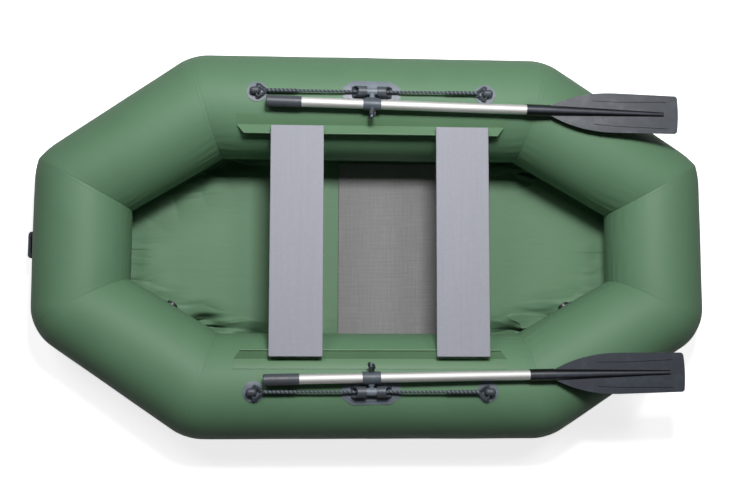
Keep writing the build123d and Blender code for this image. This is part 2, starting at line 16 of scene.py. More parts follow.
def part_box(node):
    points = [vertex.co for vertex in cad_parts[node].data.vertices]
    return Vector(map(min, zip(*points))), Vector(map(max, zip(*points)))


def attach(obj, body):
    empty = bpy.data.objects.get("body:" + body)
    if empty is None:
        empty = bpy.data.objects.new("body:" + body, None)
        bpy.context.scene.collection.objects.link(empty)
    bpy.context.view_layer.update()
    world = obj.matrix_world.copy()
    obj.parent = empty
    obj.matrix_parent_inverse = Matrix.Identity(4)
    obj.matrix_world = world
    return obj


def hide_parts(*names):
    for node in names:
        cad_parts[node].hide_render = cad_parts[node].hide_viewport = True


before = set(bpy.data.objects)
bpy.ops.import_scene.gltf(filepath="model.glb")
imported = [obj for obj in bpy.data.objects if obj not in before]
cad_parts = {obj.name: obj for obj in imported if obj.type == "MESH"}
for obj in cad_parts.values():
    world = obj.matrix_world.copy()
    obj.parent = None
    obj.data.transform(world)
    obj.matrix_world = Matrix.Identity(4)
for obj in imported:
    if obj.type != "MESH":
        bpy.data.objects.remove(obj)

log = logging.getLogger("inflatable_boat")

MM = 0.001
UP = Vector((0, 0, 1))


class Side(Enum):
    """A side of the boat. The value is the sign of Y there."""

    PORT = 1
    STARBOARD = -1

    @property
    def suffix(self) -> str:
        """The ending of this side's node names."""
        return self.name.lower()


class End(Enum):
    """An end of the boat. The value is the sign of X there."""

    BOW = 1
    STERN = -1


class Joining(Enum):
    """How the cells of a mesh grid close on themselves."""

    OPEN = 0
    ROUND = 1


# ---------------------------------------------------------------------------------------- helpers


def linear(hex_code: str) -> tuple[float, float, float, float]:
    """Turns an sRGB colour into the linear one that shaders use.

    Args:
        hex_code: six hex digits, with or without a leading #.

    Returns:
        Linear red, green and blue from 0 to 1, and an alpha of 1.
    """
    digits = hex_code.lstrip("#")
    channels = [int(digits[start:start + 2], 16) / 255 for start in (0, 2, 4)]
    bent = [value / 12.92 if value <= 0.04045 else ((value + 0.055) / 1.055) ** 2.4 for value in channels]
    return (bent[0], bent[1], bent[2], 1.0)


def smooth_step(low: float, high: float, value: float) -> float:
    """A smooth rise between two values.

    Args:
        low: where it starts.
        high: where it ends.
        value: the place on it.

    Returns:
        0 up to low, 1 from high on, and a smooth share between.
    """
    share = min(1.0, max(0.0, (value - low) / (high - low)))
    return share * share * (3 - 2 * share)


def add_node(
    tree: bpy.types.NodeTree, kind: str, inputs: dict | None = None, **settings: object
) -> bpy.types.Node:
    """Adds one shader node with its settings, its values and the links into it.

    Args:
        tree: the material's or world's node tree.
        kind: the node's type name.
        inputs: a value or an output socket for each input, by its name or number.
        **settings: the node's own properties.

    Returns:
        The new node.
    """
    node = tree.nodes.new(kind)
    for name, value in settings.items():
        setattr(node, name, value)
    for key, value in (inputs or {}).items():
        if isinstance(value, bpy.types.NodeSocket):
            tree.links.new(value, node.inputs[key])
        else:
            node.inputs[key].default_value = value
    return node


def mesh_piece(
    name: str,
    points: list[Vector],
    faces: list[tuple[int, ...]],
    weave: list[tuple[float, float]] | None = None,
    marks: dict[str, list[float]] | None = None,
) -> bpy.types.Object:
    """Makes a smooth mesh object.

    Args:
        name: the piece's name.
        points: its vertices.
        faces: the vertex numbers of each face.
        weave: for each vertex, how far along and round the cloth it lies, in metres.
        marks: further values for each vertex, by name.

    Returns:
        The new object, in the scene.
    """
    mesh = bpy.data.meshes.new(name)
    mesh.from_pydata([tuple(point) for point in points], [], faces)
    mesh.polygons.foreach_set("use_smooth", [True] * len(mesh.polygons))
    if weave:
        layer = mesh.uv_layers.new(name="weave")
        corners = [0] * len(mesh.loops)
        mesh.loops.foreach_get("vertex_index", corners)
        layer.data.foreach_set("uv", [part for corner in corners for part in weave[corner]])
    for mark, values in (marks or {}).items():
        mesh.attributes.new(mark, "FLOAT", "POINT").data.foreach_set("value", values)
    mesh.update()
    piece = bpy.data.objects.new(name, mesh)
    bpy.context.scene.collection.objects.link(piece)
    return piece


def grid_faces(rows: int, columns: int, joining: Joining, first: int = 0) -> list[tuple[int, ...]]:
    """The four-sided faces of a grid of vertices that are numbered row by row.

    Args:
        rows: the number of rows.
        columns: the number of vertices in a row.
        joining: ROUND joins each row's last vertex to its first.
        first: the number of the grid's first vertex.

    Returns:
        The faces, all facing the same way.
    """
    faces = []
    last = columns if joining is Joining.ROUND else columns - 1
    for row in range(rows - 1):
        for column in range(last):
            beside = (column + 1) % columns
            low, high = first + row * columns, first + (row + 1) * columns
            faces.append((low + column, low + beside, high + beside, high + column))
    return faces


def slab_faces(rows: int, columns: int) -> list[tuple[int, ...]]:
    """The faces of two equal grids of vertices, the first over the second.

    Args:
        rows: the number of rows of each.
        columns: the number of vertices in a row.

    Returns:
        The first grid's faces, which look up, and then the second's, which look down.
    """
    upper = [tuple(reversed(face)) for face in grid_faces(rows, columns, Joining.OPEN)]
    return upper + grid_faces(rows, columns, Joining.OPEN, first=rows * columns)


def swept(
    path: list[Vector], radius: Callable[[int], float], sides: int
) -> tuple[list[Vector], list[tuple]]:
    """A round rod with capped ends along a line of points.

    Args:
        path: the middle of the rod, point by point.
        radius: the rod's radius at a point, from the point's number.
        sides: how many vertices go round it.

    Returns:
        Its vertices and its faces.
    """
    points: list[Vector] = []
    across = UP if abs((path[1] - path[0]).normalized().z) < 0.9 else Vector((1, 0, 0))
    for number, middle in enumerate(path):
        ahead = path[min(number + 1, len(path) - 1)] - path[max(number - 1, 0)]
        along = ahead.normalized()
        across = (across - along * across.dot(along)).normalized()
        other = along.cross(across)
        for step in range(sides):
            turn = 2 * math.pi * step / sides
            points.append(middle + (across * math.cos(turn) + other * math.sin(turn)) * radius(number))
    faces = grid_faces(len(path), sides, Joining.ROUND)
    start = len(points) - sides
    faces.append(tuple(reversed(range(sides))))
    faces.append(tuple(range(start, start + sides)))
    return points, faces


def joined(parts: list[tuple[list[Vector], list[tuple]]]) -> tuple[list[Vector], list[tuple]]:
    """Several lists of vertices and faces as one.

    Args:
        parts: the vertices and faces of each part.

    Returns:
        All the vertices, and all the faces with their numbers moved to match.
    """
    points: list[Vector] = []
    faces: list[tuple] = []
    for part_points, part_faces in parts:
        faces += [tuple(number + len(points) for number in face) for face in part_faces]
        points += part_points
    return points, faces


def smooth_line(knots: list[Vector], steps: int) -> list[Vector]:
    """A smooth line through a list of points.

    Args:
        knots: the points that it passes.
        steps: how many steps it has between two of them.

    Returns:
        The points of the line.
    """
    line = []
    for index in range(len(knots) - 1):
        before, here = knots[max(index - 1, 0)], knots[index]
        there, after = knots[index + 1], knots[min(index + 2, len(knots) - 1)]
        for step in range(steps):
            t = step / steps
            line.append(0.5 * (
                2 * here + (there - before) * t + (2 * before - 5 * here + 4 * there - after) * t**2
                + (3 * here - before - 3 * there + after) * t**3))
    line.append(knots[-1])
    return line


def dress(piece: bpy.types.Object, material: bpy.types.Material) -> None:
    """Gives a piece one material in place of what it had."""
    piece.data.materials.clear()
    piece.data.materials.append(material)


def bell(distance: float, width: float) -> float:
    """A smooth bump: 1 at no distance, a third at its width and almost nothing at twice that."""
    return math.exp(-((distance / width) ** 2))


def stands_for(
    piece: bpy.types.Object, body: str, slot: str, material: bpy.types.Material, *nodes: str
) -> bpy.types.Object:
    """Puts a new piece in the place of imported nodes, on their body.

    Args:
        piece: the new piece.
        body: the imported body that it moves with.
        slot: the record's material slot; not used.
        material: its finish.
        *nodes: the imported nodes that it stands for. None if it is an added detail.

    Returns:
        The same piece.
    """
    dress(piece, material)
    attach(piece, body)
    if nodes:
        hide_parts(*nodes)
    log.info("%s: %d vertices, rides on %s, stands for %s", piece.name, len(piece.data.vertices), body,
             ", ".join(nodes) or "no node")
    return piece


def box_middle(node: str) -> Vector:
    """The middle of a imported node's box, from the node's name."""
    low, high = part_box(node)
    return (low + high) / 2


# --------------------------------------------------------------------------------------- finishes


@dataclass(frozen=True)
class Finish:
    """A surface finish that is built once and then shared by its pieces."""

    built: ClassVar[dict[str, bpy.types.Material]] = {}
    name: str = "finish"

    def material(self) -> bpy.types.Material:
        """Builds the finish the first time that it is asked for.

        Returns:
            The Blender material, the same one each time.
        """
        if self.name not in Finish.built:
            material = bpy.data.materials.new(self.name)
            material.use_nodes = True
            material.node_tree.nodes.clear()
            surface = self.surface(material.node_tree)
            add_node(material.node_tree, "ShaderNodeOutputMaterial", {"Surface": surface})
            Finish.built[self.name] = material
        return Finish.built[self.name]

    def surface(self, tree: bpy.types.NodeTree) -> bpy.types.NodeSocket:
        """Builds the shader.

        Args:
            tree: the material's node tree.

        Returns:
            The shader's output.
        """
        raise NotImplementedError

    @staticmethod
    def threads(
        tree: bpy.types.NodeTree, place: bpy.types.NodeSocket, spacing: float, crossing: str,
        wander: float = 0.0,
    ) -> bpy.types.NodeSocket:
        """The pattern of threads that cross in a plain weave.

        Args:
            tree: the material's node tree.
            place: the point's place on the cloth.
            spacing: from one thread to the next.
            crossing: the arithmetic that joins warp and weft.
            wander: how far the threads leave their line.

        Returns:
            The height of the threads, from 0 to 1.
        """
        # A wave texture's own period is 2 pi / 20 of its scale.
        bands = 2 * math.pi / 20 / spacing
        warp, weft = [
            add_node(tree, "ShaderNodeTexWave", {"Vector": place, "Scale": bands, "Distortion": wander},
                     wave_type="BANDS", bands_direction=direction).outputs["Fac"]
            for direction in ("X", "Y")]
        return add_node(tree, "ShaderNodeMath", {0: warp, 1: weft}, operation=crossing).outputs["Value"]

    @staticmethod
    def drawn_noise(
        tree: bpy.types.NodeTree, place: bpy.types.NodeSocket, scale: tuple[float, float, float],
        look: dict[str, float],
    ) -> bpy.types.NodeSocket:
        """Noise that is drawn out along one or two axes.

        Args:
            tree: the material's node tree.
            place: the point's place on the piece.
            scale: how many patches of it go to a metre, along each axis.
            look: the noise's other inputs, by name.

        Returns:
            The noise, from 0 to 1.
        """
        drawn = add_node(tree, "ShaderNodeMapping", {"Vector": place, "Scale": scale})
        return add_node(tree, "ShaderNodeTexNoise", {
            "Vector": drawn.outputs["Vector"], "Scale": 1.0, **look}).outputs["Fac"]


@dataclass(frozen=True)
class CoatedCloth(Finish):
    """PVC-coated polyester cloth, calendered: a satin skin through which the base weave just shows.

    The eye gets a soft broad highlight, a little cloudiness in the green and a fine even tooth.
    """

    name: str = "pvc_coated_cloth"
    colour: str = "#628768"
    shade: str = "#5B7E60"
    seam_colour: str = "#4E6E52"
    roughness: float = 0.58
    skin_gloss: float = 0.35                # 0.5 is bare PVC. The satin coating throws less light back
    thread_spacing: float = 3.0 * MM        # real threads are 1 mm apart, too fine to show
    weave_relief: float = 0.05 * MM
    skin_relief: float = 0.25 * MM
    cloud_size: float = 0.16
    grain_size: float = 9 * MM              # the faint orange peel of the coating

    def surface(self, tree: bpy.types.NodeTree) -> bpy.types.NodeSocket:
        """Builds the shader.

        Args:
            tree: the material's node tree.

        Returns:
            The shader's output.
        """
        place = add_node(tree, "ShaderNodeTexCoord").outputs["Object"]
        cloth = add_node(tree, "ShaderNodeUVMap", uv_map="weave").outputs["UV"]
        cloud = add_node(tree, "ShaderNodeTexNoise", {
            "Vector": place, "Scale": 1 / self.cloud_size, "Detail": 3.0, "Roughness": 0.6})
        grain = add_node(tree, "ShaderNodeTexNoise", {
            "Vector": place, "Scale": 1 / self.grain_size, "Detail": 2.0, "Roughness": 0.5})
        tone = add_node(tree, "ShaderNodeMix", {
            "Factor": cloud.outputs["Fac"], "A": linear(self.shade), "B": linear(self.colour)},
            data_type="RGBA")
        seam = add_node(tree, "ShaderNodeAttribute", attribute_name="seam")
        base = add_node(tree, "ShaderNodeMix", {
            "Factor": seam.outputs["Fac"], "A": tone.outputs["Result"], "B": linear(self.seam_colour)},
            data_type="RGBA")
        threads = self.threads(tree, cloth, self.thread_spacing, "MAXIMUM")
        skin = add_node(tree, "ShaderNodeBump", {
            "Height": grain.outputs["Fac"], "Distance": self.skin_relief, "Strength": 1.0})
        creased = self.creases(tree, place)
        if creased:
            tree.links.new(creased, skin.inputs["Normal"])
        woven = add_node(tree, "ShaderNodeBump", {
            "Height": threads, "Distance": self.weave_relief, "Strength": 1.0,
            "Normal": skin.outputs["Normal"]})
        gloss = add_node(tree, "ShaderNodeMapRange", {
            "Value": cloud.outputs["Fac"],
            "To Min": self.roughness - 0.05, "To Max": self.roughness + 0.06})
        return add_node(tree, "ShaderNodeBsdfPrincipled", {
            "Base Color": base.outputs["Result"], "Roughness": gloss.outputs["Result"], "IOR": 1.53,
            "Specular IOR Level": self.skin_gloss, "Normal": woven.outputs["Normal"]}).outputs["BSDF"]

    def creases(self, tree: bpy.types.NodeTree, place: bpy.types.NodeSocket) -> bpy.types.NodeSocket | None:
        """The creased normal under the skin's own relief. Blown-up tubes have none."""
        return None


@dataclass(frozen=True)
class CreasedCloth(CoatedCloth):
    """The same coated cloth where it isn't blown tight: the bottom of the boat.

    The eye gets faint drag lines along the boat, and sharp crumples where the sheet bunches up
    beside the tubes.
    """

    name: str = "pvc_coated_floor_cloth"
    colour: str = "#668B6B"
    shade: str = "#5F8264"
    roughness: float = 0.6
    drag_length: float = 0.22
    drag_width: float = 30 * MM
    drag_depth: float = 0.9 * MM
    crumple_length: float = 0.16
    crumple_width: float = 48 * MM
    crumple_depth: float = 110 * MM         # of a bump that only bends the light, not the sheet

    def creases(self, tree: bpy.types.NodeTree, place: bpy.types.NodeSocket) -> bpy.types.NodeSocket | None:
        """The creased normal under the skin's own relief.

        Args:
            tree: the material's node tree.
            place: the point's place on the boat.

        Returns:
            The normal, bent by the drag lines and by the crumples.
        """
        heights = []
        for length, width, detail in ((self.drag_length, self.drag_width, 2.0),
                                      (self.crumple_length, self.crumple_width, 0.5)):
            heights.append(self.drawn_noise(tree, place, (1 / length, 1 / width, 1), {
                "Detail": detail, "Roughness": 0.55, "Distortion": 0.6}))
        slack = add_node(tree, "ShaderNodeAttribute", attribute_name="slack")
        bunched = add_node(tree, "ShaderNodeMapRange", {
            "Value": heights[1], "From Min": 0.36, "From Max": 0.64, "To Min": 0.25})
        crumple = add_node(tree, "ShaderNodeMath", {0: bunched.outputs["Result"], 1: slack.outputs["Fac"]},
                           operation="MULTIPLY")
        drag = add_node(tree, "ShaderNodeBump", {
            "Height": heights[0], "Distance": self.drag_depth, "Strength": 1.0})
        return add_node(tree, "ShaderNodeBump", {
            "Height": crumple.outputs["Value"], "Distance": self.crumple_depth, "Strength": 1.0,
            "Normal": drag.outputs["Normal"]}, invert=True).outputs["Normal"]


@dataclass(frozen=True)
class MatCloth(Finish):
    """Woven polyester cover of the floor mat, plain weave: matt neutral grey with a fine grid of threads.

    The eye gets a fine woven grid with a few slightly darker threads, and no highlight.
    """

    name: str = "woven_mat_cloth"
    colour: str = "#8F8F8F"
    dark_thread: str = "#7F7F7F"
    pale_thread: str = "#A2A2A1"
    thread_spacing: float = 5.0 * MM        # drawn coarser than the real 2 mm, to show
    streak_length: float = 0.12
    streak_width: float = 5.0 * MM
    relief: float = 0.35 * MM
    roughness: float = 0.85

    def surface(self, tree: bpy.types.NodeTree) -> bpy.types.NodeSocket:
        """Builds the shader.

        Args:
            tree: the material's node tree.

        Returns:
            The shader's output.
        """
        place = add_node(tree, "ShaderNodeTexCoord").outputs["Object"]
        threads = self.threads(tree, place, self.thread_spacing, "MULTIPLY", wander=0.3)
        darker = []
        for scale in ((1 / self.streak_width, 1 / self.streak_length, 1),
                      (1 / self.streak_length, 1 / self.streak_width, 1)):
            streaks = self.drawn_noise(tree, place, scale, {"Detail": 3.0, "Roughness": 0.7})
            darker.append(add_node(tree, "ShaderNodeMapRange", {
                "Value": streaks, "From Min": 0.38, "From Max": 0.62}))
        dark = add_node(tree, "ShaderNodeMath", {
            0: darker[0].outputs["Result"], 1: darker[1].outputs["Result"]}, operation="MULTIPLY")
        ground = add_node(tree, "ShaderNodeMix", {
            "Factor": dark.outputs["Value"], "A": linear(self.dark_thread), "B": linear(self.colour)},
            data_type="RGBA")
        crossings = add_node(tree, "ShaderNodeMapRange", {
            "Value": threads, "From Min": 0.1, "From Max": 0.8, "To Max": 0.6})
        base = add_node(tree, "ShaderNodeMix", {
            "Factor": crossings.outputs["Result"], "A": ground.outputs["Result"],
            "B": linear(self.pale_thread)}, data_type="RGBA")
        relief = add_node(tree, "ShaderNodeBump", {
            "Height": threads, "Distance": self.relief, "Strength": 0.8})
        return add_node(tree, "ShaderNodeBsdfPrincipled", {
            "Base Color": base.outputs["Result"], "Roughness": self.roughness, "IOR": 1.5,
            "Normal": relief.outputs["Normal"]}).outputs["BSDF"]


@dataclass(frozen=True)
class FacedBoard(Finish):
    """Seat board of plywood faced with grey melamine film, its long edges capped.

    The eye gets a pale even grey, a whisper of the grain under the film and a few paler scuffs.
    """

    name: str = "film_faced_board"
    colour: str = "#9B9CA7"
    shade: str = "#9496A0"
    scuff: str = "#A6A7B0"
    grain_width: float = 5 * MM
    grain_length: float = 0.25
    speck_size: float = 12 * MM
    roughness: float = 0.62

    def surface(self, tree: bpy.types.NodeTree) -> bpy.types.NodeSocket:
        """Builds the shader.

        Args:
            tree: the material's node tree.

        Returns:
            The shader's output.
        """
        place = add_node(tree, "ShaderNodeTexCoord").outputs["Object"]
        scale = (1 / self.grain_width, 1 / self.grain_length, 1)
        grain = self.drawn_noise(tree, place, scale, {"Detail": 4.0, "Roughness": 0.6})
        specks = add_node(tree, "ShaderNodeTexNoise", {
            "Vector": place, "Scale": 1 / self.speck_size, "Detail": 3.0, "Roughness": 0.7})
        mottle = add_node(tree, "ShaderNodeMath", {0: grain, 1: specks.outputs["Fac"]},
                          operation="MULTIPLY")
        tone = add_node(tree, "ShaderNodeMapRange", {
            "Value": mottle.outputs["Value"], "From Min": 0.12, "From Max": 0.4})
        base = add_node(tree, "ShaderNodeMix", {
            "Factor": tone.outputs["Result"], "A": linear(self.shade), "B": linear(self.colour)},
            data_type="RGBA")
        worn = add_node(tree, "ShaderNodeMapRange", {
            "Value": specks.outputs["Fac"], "From Min": 0.62, "From Max": 0.75, "To Max": 0.35})
        scuffed = add_node(tree, "ShaderNodeMix", {
            "Factor": worn.outputs["Result"], "A": base.outputs["Result"], "B": linear(self.scuff)},
            data_type="RGBA")
        gloss = add_node(tree, "ShaderNodeMapRange", {
            "Value": specks.outputs["Fac"],
            "To Min": self.roughness - 0.08, "To Max": self.roughness + 0.1})
        relief = add_node(tree, "ShaderNodeBump", {
            "Height": grain, "Distance": 0.08 * MM, "Strength": 1.0})
        return add_node(tree, "ShaderNodeBsdfPrincipled", {
            "Base Color": scuffed.outputs["Result"], "Roughness": gloss.outputs["Result"], "IOR": 1.5,
            "Normal": relief.outputs["Normal"]}).outputs["BSDF"]


@dataclass(frozen=True)
class MouldedPlastic(Finish):
    """An injection-moulded plastic or rubber with a spark-eroded mould texture.

    The eye gets a satin surface with a faint even stipple, and rubbed patches that are a little glossier.
    """

    name: str = "moulded_polypropylene"
    colour: str = "#2E3138"
    worn_colour: str = "#444852"
    roughness: float = 0.36
    ior: float = 1.55
    stipple_size: float = 2.5 * MM          # the real texture is 0.1 mm, too fine to show
    stipple_relief: float = 0.04 * MM
    wear_size: float = 0.05

    def surface(self, tree: bpy.types.NodeTree) -> bpy.types.NodeSocket:
        """Builds the shader.

        Args:
            tree: the material's node tree.

        Returns:
            The shader's output.
        """
        place = add_node(tree, "ShaderNodeTexCoord").outputs["Object"]
        stipple = add_node(tree, "ShaderNodeTexNoise", {
            "Vector": place, "Scale": 1 / self.stipple_size, "Detail": 2.0})
        wear = add_node(tree, "ShaderNodeTexNoise", {
            "Vector": place, "Scale": 1 / self.wear_size, "Detail": 5.0, "Roughness": 0.65})
        rubbed = add_node(tree, "ShaderNodeMapRange", {
            "Value": wear.outputs["Fac"], "From Min": 0.5, "From Max": 0.75})
        base = self.tone(tree, rubbed.outputs["Result"])
        gloss = add_node(tree, "ShaderNodeMapRange", {
            "Value": rubbed.outputs["Result"],
            "To Min": self.roughness + 0.04, "To Max": self.roughness - 0.07})
        relief = add_node(tree, "ShaderNodeBump", {
            "Height": stipple.outputs["Fac"], "Distance": self.stipple_relief, "Strength": 1.0})
        return add_node(tree, "ShaderNodeBsdfPrincipled", {
            "Base Color": base, "Roughness": gloss.outputs["Result"], "IOR": self.ior,
            "Normal": relief.outputs["Normal"]}).outputs["BSDF"]

    def tone(self, tree: bpy.types.NodeTree, rubbed: bpy.types.NodeSocket) -> bpy.types.NodeSocket:
        """The colour of the surface.

        Args:
            tree: the material's node tree.
            rubbed: how far the surface is rubbed, from 0 to 1.

        Returns:
            The colour.
        """
        return add_node(tree, "ShaderNodeMix", {
            "Factor": rubbed, "A": linear(self.colour), "B": linear(self.worn_colour)},
            data_type="RGBA").outputs["Result"]


@dataclass(frozen=True)
class PlateAndFitting(MouldedPlastic):
    """A dark nylon fitting moulded into a pale blue-grey base plate of soft PVC.

    The eye gets a pale satin plate, and above it a near-black fitting with soft highlights.
    """

    colour: str = "#454B53"
    worn_colour: str = "#525962"
    roughness: float = 0.44
    plate_colour: str = "#6C7580"
    plate_worn_colour: str = "#7A838F"
    plate_top: float = 377.2 * MM           # height above the ground at which the fitting begins

    def tone(self, tree: bpy.types.NodeTree, rubbed: bpy.types.NodeSocket) -> bpy.types.NodeSocket:
        """The colour of the surface, which changes at the top of the plate.

        Args:
            tree: the material's node tree.
            rubbed: how far the surface is rubbed, from 0 to 1.

        Returns:
            The colour.
        """
        fitting = super().tone(tree, rubbed)
        plate = add_node(tree, "ShaderNodeMix", {
            "Factor": rubbed, "A": linear(self.plate_colour), "B": linear(self.plate_worn_colour)},
            data_type="RGBA")
        place = add_node(tree, "ShaderNodeTexCoord").outputs["Object"]
        height = add_node(tree, "ShaderNodeSeparateXYZ", {"Vector": place})
        above = add_node(tree, "ShaderNodeMapRange", {
            "Value": height.outputs["Z"], "From Min": self.plate_top - 0.4 * MM,
            "From Max": self.plate_top + 0.4 * MM})
        return add_node(tree, "ShaderNodeMix", {
            "Factor": above.outputs["Result"], "A": plate.outputs["Result"], "B": fitting},
            data_type="RGBA").outputs["Result"]


@dataclass(frozen=True)
class RibShadedBlade(MouldedPlastic):
    """A moulded oar blade: its flat faces keep the plastic's colour, and the sides of its ribs and spine
    get painted shade, near black.

    The eye gets grey satin flats, and dark lines of painted shade along the sides of the ribs and of the
    spine.
    """

    colour: str = "#363B43"
    worn_colour: str = "#484E57"
    # near-black shade painted on the sides of the ribs and spine
    painted_rib_shade: str = "#08090A"
    roughness: float = 0.34
    flat_from: float = 0.80                 # the upright part of the normal up to which the painted shade is full
    flat_to: float = 0.975

    def tone(self, tree: bpy.types.NodeTree, rubbed: bpy.types.NodeSocket) -> bpy.types.NodeSocket:
        """The colour of the surface, with shade painted darkest where it doesn't lie flat.

        Args:
            tree: the material's node tree.
            rubbed: how far the surface is rubbed, from 0 to 1.

        Returns:
            The colour.
        """
        face = super().tone(tree, rubbed)
        facing = add_node(tree, "ShaderNodeTexCoord").outputs["Normal"]
        parts = add_node(tree, "ShaderNodeSeparateXYZ", {"Vector": facing})
        upright = add_node(tree, "ShaderNodeMath", {0: parts.outputs["Z"]}, operation="ABSOLUTE")
        flat = add_node(tree, "ShaderNodeMapRange", {
            "Value": upright.outputs["Value"], "From Min": self.flat_from, "From Max": self.flat_to})
        # paints shade on what doesn't lie flat: the sides of the ribs and of the spine
        return add_node(tree, "ShaderNodeMix", {
            "Factor": flat.outputs["Result"], "A": linear(self.painted_rib_shade), "B": face},
            data_type="RGBA").outputs["Result"]


@dataclass(frozen=True)
class AnodisedAluminium(Finish):
    """Drawn aluminium tube, natural anodised: silvery white with very fine lines along its length.

    The eye gets a broad soft highlight drawn out round the tube, and a slightly duller shade side.
    """

    name: str = "anodised_aluminium"
    colour: str = "#E6E6E4"
    roughness: float = 0.68
    line_width: float = 1.2 * MM            # real draw lines are hair-fine, too fine to show
    line_length: float = 0.4
    line_relief: float = 0.01 * MM

    def surface(self, tree: bpy.types.NodeTree) -> bpy.types.NodeSocket:
        """Builds the shader.

        Args:
            tree: the material's node tree.

        Returns:
            The shader's output.
        """
        place = add_node(tree, "ShaderNodeTexCoord").outputs["Object"]
        scale = (1 / self.line_length, 1 / self.line_width, 1 / self.line_width)
        lines = self.drawn_noise(tree, place, scale, {"Detail": 2.0})
        gloss = add_node(tree, "ShaderNodeMapRange", {
            "Value": lines,
            "To Min": self.roughness - 0.06, "To Max": self.roughness + 0.08})
        relief = add_node(tree, "ShaderNodeBump", {
            "Height": lines, "Distance": self.line_relief, "Strength": 1.0})
        return add_node(tree, "ShaderNodeBsdfPrincipled", {
            "Base Color": linear(self.colour), "Metallic": 1.0, "Roughness": gloss.outputs["Result"],
            "Normal": relief.outputs["Normal"]}).outputs["BSDF"]


@dataclass(frozen=True)
class LaidCord(Finish):
    """Polypropylene rope, three-strand laid: dark blue-grey yarns, and one strand of a paler grey.

    The eye gets a slanting light and dark pattern with a slight waxy shine on each strand.
    """

    name: str = "laid_polypropylene_rope"
    colour: str = "#2C3238"
    fleck: str = "#555E66"
    pale_strand: str = "#747E86"
    yarn_width: float = 1.6 * MM
    roughness: float = 0.5

    def surface(self, tree: bpy.types.NodeTree) -> bpy.types.NodeSocket:
        """Builds the shader.

        Args:
            tree: the material's node tree.

        Returns:
            The shader's output.
        """
        place = add_node(tree, "ShaderNodeTexCoord").outputs["Object"]
        yarns = add_node(tree, "ShaderNodeTexNoise", {
            "Vector": place, "Scale": 1 / self.yarn_width, "Detail": 2.0, "Roughness": 0.6})
        flecked = add_node(tree, "ShaderNodeMapRange", {
            "Value": yarns.outputs["Fac"], "From Min": 0.48, "From Max": 0.66})
        dark = add_node(tree, "ShaderNodeMix", {
            "Factor": flecked.outputs["Result"], "A": linear(self.colour), "B": linear(self.fleck)},
            data_type="RGBA")
        strand = add_node(tree, "ShaderNodeAttribute", attribute_name="pale")
        base = add_node(tree, "ShaderNodeMix", {
            "Factor": strand.outputs["Fac"], "A": dark.outputs["Result"], "B": linear(self.pale_strand)},
            data_type="RGBA")
        relief = add_node(tree, "ShaderNodeBump", {
            "Height": yarns.outputs["Fac"], "Distance": 0.3 * MM, "Strength": 0.8})
        return add_node(tree, "ShaderNodeBsdfPrincipled", {
            "Base Color": base.outputs["Result"], "Roughness": self.roughness, "IOR": 1.49,
            "Normal": relief.outputs["Normal"]}).outputs["BSDF"]


TUBE_CLOTH = CoatedCloth()
FLOOR_CLOTH = CreasedCloth()
RAIL_CLOTH = CoatedCloth(name="pvc_rail_strip", colour="#618564", shade="#5B7C5D", roughness=0.45)
MAT_CLOTH = MatCloth()
SEAT_BOARD = FacedBoard()
PATCH_RUBBER = MouldedPlastic(
    name="moulded_rubber", colour="#6C7580", worn_colour="#7A838F", roughness=0.40, ior=1.52)
ROWLOCK_MOULDING = PlateAndFitting(name="rowlock_moulding")
EYE_MOULDING = PlateAndFitting(name="rope_eye_moulding", plate_top=374.6 * MM)
FITTING_PLASTIC = MouldedPlastic(
    name="moulded_nylon_fitting", colour="#4A4F57", worn_colour="#5A6069", roughness=0.36, ior=1.53)
SWIVEL_PLASTIC = MouldedPlastic(
    name="moulded_nylon_swivel", colour="#727D88", worn_colour="#808B96", roughness=0.45, ior=1.53)
COLLAR_PLASTIC = MouldedPlastic(
    name="moulded_nylon_collar", colour="#4E5760", worn_colour="#5B656F", roughness=0.45, ior=1.53)
GRIP_PLASTIC = MouldedPlastic(
    name="moulded_grip", colour="#464A51", worn_colour="#545962", roughness=0.44)
# the blade's finish paints shade on the sides of its ribs and spine
BLADE_PLASTIC = RibShadedBlade(name="moulded_polypropylene_blade")
DARK_PLASTIC = MouldedPlastic(name="moulded_acetal", colour="#25282C", worn_colour="#33373C")
NUT_PLASTIC = MouldedPlastic(name="moulded_nut", colour="#33363B", worn_colour="#5E6368", roughness=0.34)
TUBE_ALLOY = AnodisedAluminium()
ROPE = LaidCord()


# --------------------------------------------------------------------------------------- air tubes


@dataclass(frozen=True)
class Ball:
    """The ball that fills a corner of the tube ring."""

    centre: Vector
    radius: float
    fullness: float = 0.0                   # at 1 the plain tubes run on to their seam


